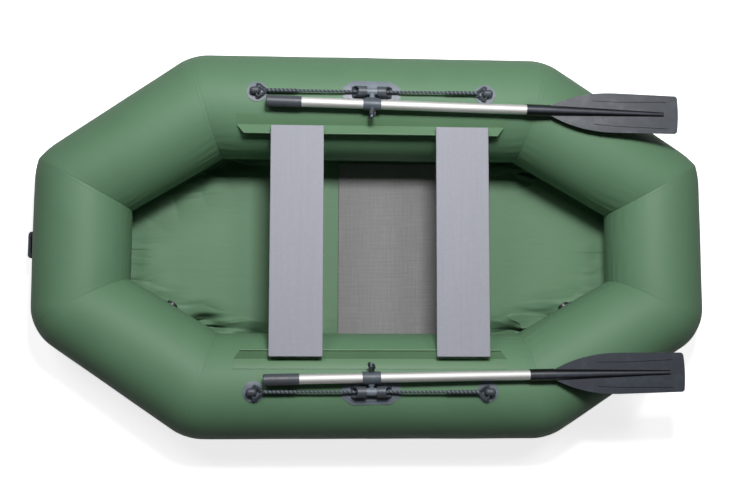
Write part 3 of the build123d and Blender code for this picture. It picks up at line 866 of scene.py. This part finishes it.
@dataclass
class AirTube:
    """One air tube, welded from flat cloth: mitred ends under a seam tape, with puckers inboard."""

    node: str
    before: Ball
    start: Ball
    end: Ball
    after: Ball
    has_middle_seam: bool = False
    columns: int = 240
    tape_half_width: float = 12 * MM
    tape_height: float = 0.3 * MM
    seam_pull: float = 1.6 * MM             # how far the tape pulls the tube in
    seam_pull_reach: float = 34 * MM
    pucker_depth: float = 2.4 * MM
    pucker_spacing: float = 34 * MM
    pucker_reach: float = 30 * MM
    pucker_wander: float = 2.2              # how far noise shifts the puckers, in radians of their wave
    pucker_mean: float = 0.55               # how strong they are, and how much that changes
    pucker_change: float = 0.9
    billow: float = 1.1 * MM
    billow_size: float = 0.22
    lapped_step: float = 0.5 * MM           # where the cloth is lapped in the middle of a side tube
    lapped_reach: float = 0.06
    weld_turn: float = math.radians(-13)    # the lengthwise weld, low on the tube's inboard side
    weld_height: float = 1.8 * MM
    weld_width: float = 5 * MM
    stations: tuple[float, ...] = tuple(    # rows of vertices, close together across the tape's edge
        station * MM for station in (
            0, 1, 3, 6, 9, 10.8, 11.6, 12.4, 13.2, 16, 21, 27, 34, 42, 51, 61, 72, 84, 98))
    middle_rows: int = 34

    def __post_init__(self) -> None:
        """Works out the tube's own axes."""
        run = self.end.centre - self.start.centre
        self.length = run.length
        self.along = run.normalized()
        self.across = self.along.cross(UP).normalized()
        if self.across.dot(self.start.centre + self.end.centre) > 0:
            self.across = -self.across
        self.rise = self.across.cross(self.along)
        if self.rise.z < 0:
            self.rise = -self.rise
        self.start_plane = self.mitre(self.start, self.end, self.before)
        self.end_plane = self.mitre(self.end, self.start, self.after)

    def radial(self, turn: float) -> Vector:
        """The direction from the axis at an angle: 0 is inboard and a quarter turn is up."""
        return self.across * math.cos(turn) + self.rise * math.sin(turn)

    @staticmethod
    def narrowing(near: Ball, far: Ball) -> float:
        """The half angle of the cone that touches both balls. Positive narrows to the far one."""
        return math.asin((near.radius - far.radius) / (far.centre - near.centre).length)

    def radius_at(self, distance: float, grown: float) -> float:
        """The tube's radius at a distance along its axis from the start ball's middle.

        Args:
            distance: along the axis.
            grown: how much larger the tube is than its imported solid.

        Returns:
            The radius.
        """
        lean = self.narrowing(self.start, self.end)
        near, far = self.start.radius + grown, self.end.radius + grown
        plain = near / math.cos(lean) - distance * math.tan(lean)
        if distance < near * math.sin(lean):
            ball = math.sqrt(max(0.0, near**2 - distance**2))
            return ball + self.start.fullness * (plain - ball)
        if distance > self.length + far * math.sin(lean):
            ball = math.sqrt(max(0.0, far**2 - (distance - self.length) ** 2))
            return ball + self.end.fullness * (plain - ball)
        return plain

    def mitre(self, corner: Ball, kept: Ball, other: Ball) -> tuple[Vector, Vector]:
        """The plane in which two tubes meet at a corner.

        Args:
            corner: the ball at the corner.
            kept: the far ball of the tube that is kept.
            other: the far ball of its neighbour.

        Returns:
            A point on the plane, and its normal towards the kept tube.
        """
        lean_kept = self.narrowing(corner, kept)
        lean_other = self.narrowing(corner, other)
        normal = (kept.centre - corner.centre).normalized() / math.cos(lean_kept)
        normal -= (other.centre - corner.centre).normalized() / math.cos(lean_other)
        offset = corner.radius * (math.tan(lean_kept) - math.tan(lean_other))
        return corner.centre + normal * (offset / normal.length_squared), normal

    def point(self, turn: float, distance: float, grown: float) -> Vector:
        """A point of the skin at an angle and a distance along the axis."""
        out = self.radial(turn) * self.radius_at(distance, grown)
        return self.start.centre + self.along * distance + out

    def cut(
        self, turn: float, grown: float, plane: tuple[Vector, Vector], low: float, high: float
    ) -> float:
        """Where the skin's line at an angle passes a mitre plane.

        Args:
            turn: the angle.
            grown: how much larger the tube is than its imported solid.
            plane: a point and a normal.
            low: a distance on the far side of the plane from the normal.
            high: a distance on the normal's side.

        Returns:
            The distance along the axis.
        """
        place, normal = plane
        for _ in range(40):
            middle = (low + high) / 2
            if (self.point(turn, middle, grown) - place).dot(normal) > 0:
                high = middle
            else:
                low = middle
        return (low + high) / 2

    def ends(self, turn: float, grown: float) -> tuple[float, float]:
        """Where the skin's line at an angle passes the two mitre planes.

        Args:
            turn: the angle.
            grown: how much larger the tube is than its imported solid.

        Returns:
            The distances along the axis, at the start and at the end.
        """
        middle = self.length / 2
        first = self.cut(turn, grown, self.start_plane, -self.start.radius, middle)
        last = self.cut(turn, grown, self.end_plane, self.length + self.end.radius, middle)
        return first, last

    def relief(self, turn: float, place: Vector, seam: float) -> float:
        """How far the real skin stands out of the plain one.

        Args:
            turn: the angle round the tube.
            place: the point on the plain skin.
            seam: the distance to the nearer mitred seam.

        Returns:
            The height of the tape, puckers, billows and weld there.
        """
        edge = self.tape_half_width
        tape = self.tape_height * (1 - smooth_step(edge - 1 * MM, edge + 1 * MM, seam))
        pull = self.seam_pull * math.exp(-seam / self.seam_pull_reach)
        inboard = max(0.0, math.cos(turn)) ** 3
        wander = noise.noise(place * 9) * self.pucker_wander
        wave = abs(math.sin(math.pi * turn * self.start.radius / self.pucker_spacing + wander))
        strength = self.pucker_mean + self.pucker_change * noise.noise(place * 5 + Vector((7, 3, 1)))
        spread = seam / self.pucker_reach * math.exp(1 - seam / self.pucker_reach)
        pucker = self.pucker_depth * inboard * spread * max(0.0, strength) * (wave**0.7 - 0.75)
        soft = self.billow * noise.noise(place / self.billow_size) * min(1.0, seam / 0.08)
        off_weld = math.remainder(turn - self.weld_turn, 2 * math.pi) * self.start.radius
        return tape - pull + pucker + soft + self.weld_height * bell(off_weld, self.weld_width)

    def row_distances(self, first: float, last: float) -> list[float]:
        """Where the rows of vertices lie along one line of the skin: close together near both seams.

        Args:
            first: where the line passes the start's mitre plane.
            last: where it passes the end's.

        Returns:
            The distances along the axis.
        """
        reach = self.stations[-1]
        free = last - first - 2 * reach
        shares = [(row + 1) / (self.middle_rows + 1) for row in range(self.middle_rows)]
        near_start = [first + station for station in self.stations]
        near_end = [last - station for station in reversed(self.stations)]
        return near_start + [first + reach + share * free for share in shares] + near_end

    def darkening(self, seam: float, off_middle: float) -> float:
        """How far the skin takes the seam's darker colour.

        Args:
            seam: the distance to the nearer mitred seam.
            off_middle: the distance from the middle of the tube.

        Returns:
            A share from 0 to 1, high at the seam itself and low at the tape's edge.
        """
        dark = 0.12 * bell(seam - self.tape_half_width, 1.2 * MM) + 0.4 * bell(seam, 1.0 * MM)
        if self.has_middle_seam:
            dark += 0.35 * bell(off_middle, 2.5 * MM)
        return min(1.0, dark)

    def build(self) -> bpy.types.Object:
        """Builds the tube's skin.

        Returns:
            The piece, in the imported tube's place.
        """
        at_seam = self.tape_height - self.seam_pull
        turns = [2 * math.pi * column / self.columns for column in range(self.columns)]
        lines = [self.row_distances(*self.ends(turn, at_seam)) for turn in turns]
        rows = len(lines[0])
        points, weave, seams = [], [], []
        for row in range(rows):
            for turn, line in zip(turns, lines):
                distance = line[row]
                seam = min(distance - line[0], line[-1] - distance)
                grown = self.relief(turn, self.point(turn, distance, 0.0), seam)
                off_middle = distance - self.length / 2
                if self.has_middle_seam:
                    lap = self.lapped_step * smooth_step(-1 * MM, 1 * MM, off_middle)
                    grown += lap * math.exp(-max(0.0, off_middle) / self.lapped_reach)
                points.append(self.point(turn, distance, grown))
                weave.append((distance, turn * self.start.radius))
                seams.append(self.darkening(seam, off_middle))
        faces = self.outward(grid_faces(rows, self.columns, Joining.ROUND))
        piece = mesh_piece(f"{self.node}_skin", points, faces, weave, {"seam": seams})
        return stands_for(piece, "hull", "tube_fabric", TUBE_CLOTH.material(), self.node)

    def outward(self, faces: list[tuple[int, ...]]) -> list[tuple[int, ...]]:
        """Turns the faces of a grid on this tube to the outside.

        Args:
            faces: the faces, row by row along the tube.

        Returns:
            The same faces, reversed where the tube's axes are right-handed.
        """
        if self.along.dot(self.across.cross(self.rise)) > 0:
            return [tuple(reversed(face)) for face in faces]
        return faces


@dataclass
class TubeRing:
    """The ring of eight air tubes, and the turned-up edge of the bottom cloth round it."""

    end_half_width: float = 220 * MM        # from the middle to a corner of an end tube's axis
    bow_shoulder: float = 593 * MM          # where a side tube's axis turns into the bow quarter
    stern_shoulder: float = 570 * MM
    lap_thickness: float = 1.2 * MM
    lap_rows: int = 26
    lap_columns: int = 15
    stern_fullness: float = 0.55            # of the starboard corners, which are fuller than port's
    bow_fullness: float = 0.45
    names: tuple[str, ...] = (
        "bow_quarter_port", "side_tube_port", "stern_quarter_port", "stern_tube",
        "stern_quarter_starboard", "side_tube_starboard", "bow_quarter_starboard", "bow_tube")

    def __post_init__(self) -> None:
        """Reads the tubes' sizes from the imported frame."""
        bow_low, bow_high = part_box("bow_tube")
        side_low, side_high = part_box("side_tube_port")
        self.end_radius = (bow_high.z - bow_low.z) / 2
        self.side_radius = (side_high.z - side_low.z) / 2
        self.end_x = (bow_low.x + bow_high.x) / 2
        self.side_y = (side_low.y + side_high.y) / 2
        self.rest_height = side_low.z

    def balls(self) -> list[Ball]:
        """The balls that fill the ring's corners.

        Returns:
            Eight balls, from the bow's port corner round by port and the stern.
        """
        port = [
            (self.end_x, self.end_half_width, self.end_radius),
            (self.bow_shoulder, self.side_y, self.side_radius),
            (-self.stern_shoulder, self.side_y, self.side_radius),
            (-self.end_x, self.end_half_width, self.end_radius)]
        starboard = [(x, -y, radius) for x, y, radius in reversed(port)]
        fullness = [0.0] * 4 + [self.stern_fullness, 0.0, 0.0, self.bow_fullness]
        return [
            Ball(Vector((x, y, self.rest_height + radius)), radius, full)
            for (x, y, radius), full in zip(port + starboard, fullness)]

    def outline(self) -> list[Vector]:
        """The octagon under the tubes' axes."""
        return [Vector((ball.centre.x, ball.centre.y, 0)) for ball in self.balls()]

    def tubes(self) -> list[AirTube]:
        """The tubes of the ring.

        Returns:
            Eight tubes, each with the balls at its own ends and at its neighbours' far ends.
        """
        balls = self.balls()
        tubes = []
        for index, name in enumerate(self.names):
            before, start, end, after = [balls[(index + step) % 8] for step in (-1, 0, 1, 2)]
            tubes.append(AirTube(name, before, start, end, after, has_middle_seam="side_tube" in name))
        return tubes

    def build(self) -> None:
        """Builds all eight tubes and the lap."""
        tubes = self.tubes()
        for tube in tubes:
            tube.build()
        self.build_lap(tubes)

    def build_lap(self, tubes: list[AirTube]) -> None:
        """Builds the strip of bottom cloth that is turned up and welded to the tubes' outsides.

        Args:
            tubes: the ring's tubes.
        """
        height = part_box("bottom_lap")[1].z
        parts = []
        for tube in tubes:
            radius = tube.start.radius
            low = math.asin((radius + self.rest_height - height) / radius)
            points = []
            for row in range(self.lap_rows):
                for column in range(self.lap_columns):
                    turn = math.pi + low + column / (self.lap_columns - 1) * (math.pi / 2 - low)
                    thick = self.lap_thickness if column else 0.0
                    first, last = tube.ends(turn, thick)
                    distance = first + (last - first) * row / (self.lap_rows - 1)
                    points.append(tube.point(turn, distance, thick))
            parts.append((points, tube.outward(grid_faces(self.lap_rows, self.lap_columns, Joining.OPEN))))
        points, faces = joined(parts)
        weave = [(point.x, point.y) for point in points]
        still = [0.0] * len(points)
        lap = mesh_piece("bottom_lap_cloth", points, faces, weave, {"seam": still, "slack": still})
        stands_for(lap, "hull", "sheet_fabric", FLOOR_CLOTH.material(), "bottom_lap")


# ------------------------------------------------------------------------------ floor and floor mat


@dataclass
class Floor:
    """The bottom cloth, stretched under the tubes: nearly flat, with folds where the tubes press it up."""

    outline: list[Vector]
    tube_radius: float
    rows: int = 300
    columns: int = 150
    thickness: float = 2 * MM
    highest: float = 14 * MM
    billow: float = 5 * MM
    billow_size: float = 0.30
    fold_depth: float = 7 * MM
    fold_spacing: float = 0.13
    fold_reach: float = 0.06
    free_reach: float = 0.06                # from the mat's edge to where the cloth hangs free
    slack_reach: float = 0.06
    slack_spread: float = 0.09              # along the boat, from where the cloth is bunched up most
    slack_starboard: float = 0.45           # the share of the port side's slack

    def slack(self, place: Vector) -> float:
        """How far the cloth is bunched up at a place.

        It is most where a quarter tube meets a side tube, and more to port than to starboard.

        Args:
            place: on the ground.

        Returns:
            A share from 0 to 1.
        """
        edge, _ = self.nearest_edge(place)
        beside = bell(edge - self.tube_radius * 0.86, self.slack_reach)
        shoulders = [corner for corner in self.outline if abs(corner.y) > self.tube_radius * 2]
        off = min(abs((place - corner).length - self.tube_radius) for corner in shoulders)
        near = bell(off, self.slack_spread)
        side = 1.0 if place.y > 0 else self.slack_starboard
        patchy = 0.75 + 0.9 * noise.noise(place * 7 + Vector((1, 2, 9)))
        return min(1.0, max(0.0, side * beside * (0.06 + 0.94 * near) * patchy))

    def half_width(self, x: float) -> float:
        """Half the octagon's width.

        Args:
            x: the place along the boat.

        Returns:
            The distance from the middle to the edge there.
        """
        port = sorted((corner.x, corner.y) for corner in self.outline if corner.y > 0)
        for (low_x, low_y), (high_x, high_y) in zip(port, port[1:]):
            if x <= high_x:
                return low_y + (high_y - low_y) * (x - low_x) / (high_x - low_x)
        return port[-1][1]

    def nearest_edge(self, place: Vector) -> tuple[float, float]:
        """Finds the nearest point of the octagon's edge.

        Args:
            place: on the ground.

        Returns:
            The distance in from the edge, and the distance along it.
        """
        best, travelled, found = 1e9, 0.0, 0.0
        for start, end in zip(self.outline, self.outline[1:] + self.outline[:1]):
            run = end - start
            share = min(1.0, max(0.0, (place - start).dot(run) / run.length_squared))
            gap = (start + run * share - place).length
            if gap < best:
                best, found = gap, travelled + share * run.length
            travelled += run.length
        return best, found

    def height(self, place: Vector, mat_low: Vector, mat_high: Vector) -> float:
        """How far the cloth is lifted off the ground.

        Args:
            place: on the ground.
            mat_low: the low corner of the floor mat's box.
            mat_high: its high corner.

        Returns:
            The height of the cloth's underside.
        """
        edge, along = self.nearest_edge(place)
        outside = Vector((
            max(mat_low.x - place.x, place.x - mat_high.x, 0.0),
            max(mat_low.y - place.y, place.y - mat_high.y, 0.0)))
        free = smooth_step(0.0, self.free_reach, outside.length)
        soft = self.billow * (0.5 + noise.noise(place / self.billow_size + Vector((3.1, 0.4, 0))))
        band = bell(max(0.0, edge - self.tube_radius), self.fold_reach)
        wander = 2.0 * noise.noise(place * 3.3)
        ridge = abs(math.sin(math.pi * along / self.fold_spacing + wander)) ** 0.6
        patchy = max(0.0, 0.2 + 1.5 * noise.noise(place * 2.1 + Vector((0, 0, 4))))
        fold = self.fold_depth * band * patchy * ridge
        under_tube = 0.8 * edge**2 / (2 * self.tube_radius)
        return min(self.highest, under_tube, max(0.0, free * (soft + fold)))

    def build(self) -> None:
        """Builds the cloth as one closed sheet and puts it in the bottom sheet's place."""
        mat_low, mat_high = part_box("floor_mat")
        reach = max(corner.x for corner in self.outline)
        top, bottom, weave = [], [], []
        for row in range(self.rows):
            x = -reach + 2 * reach * row / (self.rows - 1)
            half = self.half_width(x)
            for column in range(self.columns):
                place = Vector((x, half * (2 * column / (self.columns - 1) - 1), 0))
                lift = self.height(place, mat_low, mat_high)
                top.append(place + UP * (lift + self.thickness))
                bottom.append(place + UP * lift)
                weave.append((place.x, place.y))
        count = len(top)
        ring = list(range(self.columns))
        ring += [row * self.columns + self.columns - 1 for row in range(1, self.rows)]
        ring += list(reversed(range(count - self.columns, count - 1)))
        ring += [row * self.columns for row in range(self.rows - 2, 0, -1)]
        rim = [(here, ahead, ahead + count, here + count) for here, ahead in zip(ring, ring[1:] + ring[:1])]
        slack = [self.slack(Vector((x, y, 0))) for x, y in weave]
        faces = slab_faces(self.rows, self.columns) + rim
        cloth = mesh_piece("bottom_cloth", top + bottom, faces, weave + weave,
                           {"seam": [0.0] * (2 * count), "slack": slack + slack})
        stands_for(cloth, "hull", "sheet_fabric", FLOOR_CLOTH.material(), "bottom_sheet")


@dataclass
class FloorMat:
    """The stiff mat on the floor: thin boards in a woven cover with a rounded, slightly wavy rim."""

    rows: int = 120
    columns: int = 170
    rim: float = 7 * MM
    wave: float = 0.7 * MM
    wave_size: float = 0.07

    def build(self) -> None:
        """Builds the mat as a closed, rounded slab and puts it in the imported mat's place."""
        low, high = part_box("floor_mat")
        top, bottom = [], []
        for row in range(self.rows):
            for column in range(self.columns):
                across = self.eased(column / (self.columns - 1))
                along = self.eased(row / (self.rows - 1))
                x = low.x + (high.x - low.x) * along
                y = low.y + (high.y - low.y) * across
                inset = min(x - low.x, high.x - x, y - low.y, high.y - y)
                depth = min(1.0, inset / self.rim)
                round_off = (high.z - low.z) / 2 * (1 - math.sqrt(1 - (1 - depth) ** 2))
                ripple = self.wave * (noise.noise(Vector((x, y, 0)) / self.wave_size) - 0.4) * depth
                top.append(Vector((x, y, high.z - round_off + min(0.0, ripple))))
                bottom.append(Vector((x, y, low.z + round_off)))
        weave = [(point.x, point.y) for point in top + bottom]
        mat = mesh_piece("floor_mat_cover", top + bottom, slab_faces(self.rows, self.columns), weave)
        stands_for(mat, "hull", "mat_cover", MAT_CLOTH.material(), "floor_mat")

    @staticmethod
    def eased(share: float) -> float:
        """Spaces the grid closer towards the two rims, from an even share of the way across."""
        return 0.5 - 0.5 * math.cos(math.pi * share) * (1 - 0.25 * math.sin(math.pi * share) ** 2)


# ------------------------------------------------------------------------------------------ ropes


@dataclass
class Lifeline:
    """A three-strand laid rope, drawn tight through the rowlock, with a spliced loop at each eye."""

    side: Side
    loop_length: float = 37 * MM            # from the eye's hole to the splice
    loop_half_width: float = 22 * MM
    splice_length: float = 110 * MM
    strand_radius: float = 2.5 * MM
    strand_offset: float = 2.2 * MM
    splice_strand_radius: float = 3.1 * MM
    splice_strand_offset: float = 3.5 * MM
    pitch: float = 14 * MM
    loop_pitch: float = 30 * MM
    loop_strand_offset: float = 1.7 * MM
    points_per_pitch: int = 10
    strands: int = 3
    sides: int = 8

    def line(self, middle: Vector, reach: float) -> list[tuple[list[Vector], list[tuple]]]:
        """The strands of the straight rope, thicker where they are spliced.

        Args:
            middle: the rope's middle, on the rowlock's axle.
            reach: from there to each end of the straight rope.

        Returns:
            The vertices and faces of each strand.
        """
        count = int(2 * reach / self.pitch * self.points_per_pitch)
        splice_start = reach - self.splice_length
        parts = []
        for strand in range(self.strands):
            path, radii = [], []
            for number in range(count + 1):
                along = -reach + 2 * reach * number / count
                share = smooth_step(splice_start - 6 * MM, splice_start + 10 * MM, abs(along))
                offset = self.strand_offset + share * (self.splice_strand_offset - self.strand_offset)
                turn = 2 * math.pi * (along / self.pitch + strand / self.strands)
                path.append(middle + Vector((along, offset * math.cos(turn), offset * math.sin(turn))))
                radii.append(self.strand_radius + share * (self.splice_strand_radius - self.strand_radius))
            parts.append(swept(path, radii.__getitem__, self.sides))
        return parts

    def loop(self, eye: Vector, toward: int) -> list[tuple[list[Vector], list[tuple]]]:
        """The strands of the loop through an eye.

        Args:
            eye: the middle of the eye's hole.
            toward: the sign of X from the eye towards the splice.

        Returns:
            The vertices and faces of each strand.
        """
        half, length = self.loop_half_width, self.loop_length
        ring = [
            (length, 0), (length * 0.6, half * 0.45), (length * 0.2, half * 0.93), (0, half * 0.8), (0, 0),
            (0, -half * 0.8), (length * 0.2, -half * 0.93), (length * 0.6, -half * 0.45), (length, 0)]
        knots = [eye + Vector((toward * x, y, 0)) for x, y in ring]
        middle_line = smooth_line(knots, 14)
        distances = [0.0]
        for here, ahead in zip(middle_line, middle_line[1:]):
            distances.append(distances[-1] + (ahead - here).length)
        parts = []
        for strand in range(self.strands):
            path = []
            for number, here in enumerate(middle_line):
                ahead = middle_line[min(number + 1, len(middle_line) - 1)] - middle_line[max(number - 1, 0)]
                beside = ahead.normalized().cross(UP)
                turn = 2 * math.pi * (distances[number] / self.loop_pitch + strand / self.strands)
                out = beside * math.cos(turn) + UP * math.sin(turn)
                path.append(here + out * self.loop_strand_offset)
            parts.append(swept(path, lambda number: self.strand_radius, self.sides))
        return parts

    def build(self) -> None:
        """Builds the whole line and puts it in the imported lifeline's place."""
        node = f"lifeline_{self.side.suffix}"
        low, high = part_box(node)
        axle = box_middle(f"rowlock_axle_{self.side.suffix}")
        middle = Vector(((low.x + high.x) / 2, axle.y, axle.z))
        eye_reach = abs(box_middle(f"rope_eye_fore_{self.side.suffix}").x - middle.x)
        parts = self.line(middle, eye_reach - self.loop_length + 4 * MM)
        laid = len(parts)
        for end in End:
            parts += self.loop(middle + Vector((end.value * eye_reach, 0, 0)), -end.value)
        points, faces = joined(parts)
        pale = [float(index == 0 and index < laid) for index, part in enumerate(parts) for _ in part[0]]
        rope = mesh_piece(f"{node}_rope", points, faces, marks={"pale": pale})
        stands_for(rope, "hull", "rope", ROPE.material(), node)


# ------------------------------------------------------------------------------------- fittings


@dataclass
class Fittings:
    """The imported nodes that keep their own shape, each with the finish of the real piece."""

    finishes: dict[str, Finish] = field(default_factory=lambda: {
        "seat_plank": SEAT_BOARD,
        "seat_tracks": RAIL_CLOTH,
        "seat_rail": RAIL_CLOTH,
        "rowlock_base": ROWLOCK_MOULDING,
        "rowlock_axle": TUBE_ALLOY,
        "rope_eye": EYE_MOULDING,
        "oar_swivel": SWIVEL_PLASTIC,
        "oar_collar": COLLAR_PLASTIC,
        "oar_shaft": TUBE_ALLOY,
        "oar_grip": GRIP_PLASTIC,
        "oar_blade": BLADE_PLASTIC,
        "oar_wing_nut": NUT_PLASTIC,
        "bow_handle": FITTING_PLASTIC,
        "bow_handle_patch": PATCH_RUBBER,
        "valve": DARK_PLASTIC,
    })

    def finish_of(self, node: str) -> Finish | None:
        """Finds the finish of a node.

        Args:
            node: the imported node's name.

        Returns:
            The finish under the longest name that the node's starts with, or None if there is none.
        """
        fitting = [kind for kind in self.finishes if node.startswith(kind)]
        return self.finishes[max(fitting, key=len)] if fitting else None

    def dress_nodes(self) -> None:
        """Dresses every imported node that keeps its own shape."""
        for node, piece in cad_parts.items():
            finish = self.finish_of(node)
            if finish:
                dress(piece, finish.material())
                log.info("%s: %s", node, finish.name)


# --------------------------------------------------------------------------------------- the boat


@dataclass
class Boat:
    """The whole boat."""

    ring: TubeRing = field(default_factory=TubeRing)

    def build(self) -> None:
        """Builds and dresses every sub-assembly."""
        self.ring.build()
        Floor(self.ring.outline(), self.ring.side_radius).build()
        FloorMat().build()
        for side in Side:
            Lifeline(side).build()
        Fittings().dress_nodes()


# ----------------------------------------------------------------------------------------- studio


@dataclass(frozen=True)
class StudioPaper(Finish):
    """Seamless white studio paper, matt: white to the eye, with the boat's soft shadow on it.

    The paper gives little light back to the boat, as if it hung in a dark room.
    """

    name: str = "white_studio_paper"
    colour: str = "#F4F4F4"
    bounce: str = "#2C2C2C"                 # what the paper gives back to the boat
    lift: float = 0.86                      # how far the shadow on it is filled in for the camera

    def surface(self, tree: bpy.types.NodeTree) -> bpy.types.NodeSocket:
        """Builds the shader.

        Args:
            tree: the material's node tree.

        Returns:
            The shader's output.
        """
        ray = add_node(tree, "ShaderNodeLightPath")
        mirrored = add_node(tree, "ShaderNodeMath", {
            0: ray.outputs["Is Glossy Ray"], 1: ray.outputs["Is Transmission Ray"]}, operation="MAXIMUM")
        seen = add_node(tree, "ShaderNodeMath", {
            0: ray.outputs["Is Camera Ray"], 1: mirrored.outputs["Value"]}, operation="MAXIMUM")
        fibre = add_node(tree, "ShaderNodeTexNoise", {"Scale": 40.0, "Detail": 3.0})
        tooth = add_node(tree, "ShaderNodeBump", {
            "Height": fibre.outputs["Fac"], "Distance": 0.1 * MM})
        tone = add_node(tree, "ShaderNodeMix", {
            "Factor": seen.outputs["Value"], "A": linear(self.bounce), "B": linear(self.colour)},
            data_type="RGBA")
        paper = add_node(tree, "ShaderNodeBsdfDiffuse", {
            "Color": tone.outputs["Result"], "Normal": tooth.outputs["Normal"]})
        glow = add_node(tree, "ShaderNodeEmission", {"Color": linear(self.colour), "Strength": self.lift})
        lit = add_node(tree, "ShaderNodeAddShader", {0: paper.outputs["BSDF"], 1: glow.outputs["Emission"]})
        return add_node(tree, "ShaderNodeMixShader", {
            "Fac": ray.outputs["Is Camera Ray"], 1: paper.outputs["BSDF"],
            2: lit.outputs["Shader"]}).outputs["Shader"]


@dataclass
class SoftBox:
    """A large soft lamp that points at a place."""

    name: str
    place: Vector
    target: Vector
    width: float
    height: float
    power: float

    def build(self) -> None:
        """Hangs the lamp."""
        data = bpy.data.lights.new(self.name, "AREA")
        data.shape = "RECTANGLE"
        data.size, data.size_y = self.width, self.height
        data.energy = self.power
        lamp = bpy.data.objects.new(self.name, data)
        lamp.location = self.place
        lamp.rotation_euler = (self.target - self.place).to_track_quat("-Z", "Y").to_euler()
        bpy.context.scene.collection.objects.link(lamp)


@dataclass
class Studio:
    """The paper floor, the soft lamps, the surroundings and the camera."""

    floor_radius: float = 40.0
    wall_height: float = 16.0
    floor_gap: float = 0.5 * MM             # keeps the paper and the bottom cloth apart
    ambient: float = 0.05
    camera_place: Vector = Vector((0.2140, 0.4018, 4.0151))
    camera_turn: tuple[float, float, float] = (5.6845, -3.2448, -179.9098)
    lens: float = 51.76
    lamps: tuple[SoftBox, ...] = (
        SoftBox("key_softbox", Vector((-0.10, -1.29, 3.60)), Vector((0, 0, 0.1)), 0.65, 0.65, 106.0),
        SoftBox("stern_softbox", Vector((-1.83, -1.89, 5.49)), Vector((0, 0, 0.1)), 1.2, 1.2, 46.0),
        SoftBox("bow_softbox", Vector((2.13, -2.36, 5.19)), Vector((0, 0, 0.1)), 1.8, 1.8, 54.0),
    )

    def build(self) -> None:
        """Builds the studio and makes its camera the scene's."""
        self.build_floor()
        self.build_surroundings()
        for lamp in self.lamps:
            lamp.build()
        self.build_camera()
        bpy.context.scene.view_settings.view_transform = "Standard"

    def build_floor(self) -> None:
        """Lays the paper, which curves up into a low wall far away."""
        bend = self.wall_height / 2
        sides, rings = 64, 12
        profile = [(0.0, 0.0), (self.floor_radius - bend, 0.0)]
        profile += [(self.floor_radius - bend + bend * math.sin(turn), bend * (1 - math.cos(turn)))
                    for turn in (math.pi / 2 * ring / rings for ring in range(1, rings + 1))]
        profile.append((self.floor_radius, self.wall_height))
        points = [Vector((0, 0, -self.floor_gap))]
        for reach, height in profile[1:]:
            for side in range(sides):
                turn = 2 * math.pi * side / sides
                points.append(Vector((
                    reach * math.cos(turn), reach * math.sin(turn), height - self.floor_gap)))
        faces: list[tuple[int, ...]] = [(0, 1 + side, 1 + (side + 1) % sides) for side in range(sides)]
        faces += [tuple(reversed(face)) for face in
                  grid_faces(len(profile) - 1, sides, Joining.ROUND, first=1)]
        paper = mesh_piece("studio_paper", points, faces)
        dress(paper, StudioPaper().material())

    def build_surroundings(self) -> None:
        """Makes the room above the paper a dim even grey."""
        world = bpy.data.worlds.new("dim_room")
        world.use_nodes = True
        tree = world.node_tree
        tree.nodes.clear()
        grey = add_node(tree, "ShaderNodeBackground", {"Color": (1, 1, 1, 1), "Strength": self.ambient})
        add_node(tree, "ShaderNodeOutputWorld", {"Surface": grey.outputs["Background"]})
        bpy.context.scene.world = world

    def build_camera(self) -> None:
        """Hangs the camera above the boat."""
        data = bpy.data.cameras.new("camera")
        data.lens = self.lens
        data.sensor_width = 36.0
        data.clip_start, data.clip_end = 0.05, 200.0
        camera = bpy.data.objects.new("camera", data)
        camera.location = self.camera_place
        camera.rotation_euler = Euler([math.radians(angle) for angle in self.camera_turn], "XYZ")
        bpy.context.scene.collection.objects.link(camera)
        bpy.context.scene.camera = camera


def main() -> None:
    """Builds the boat and the studio."""
    logging.basicConfig(level=logging.INFO, format="%(message)s")
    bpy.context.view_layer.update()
    for piece in (Boat(), Studio()):
        piece.build()
        log.info("%s done", type(piece).__name__)


if __name__ == "__main__":
    main()
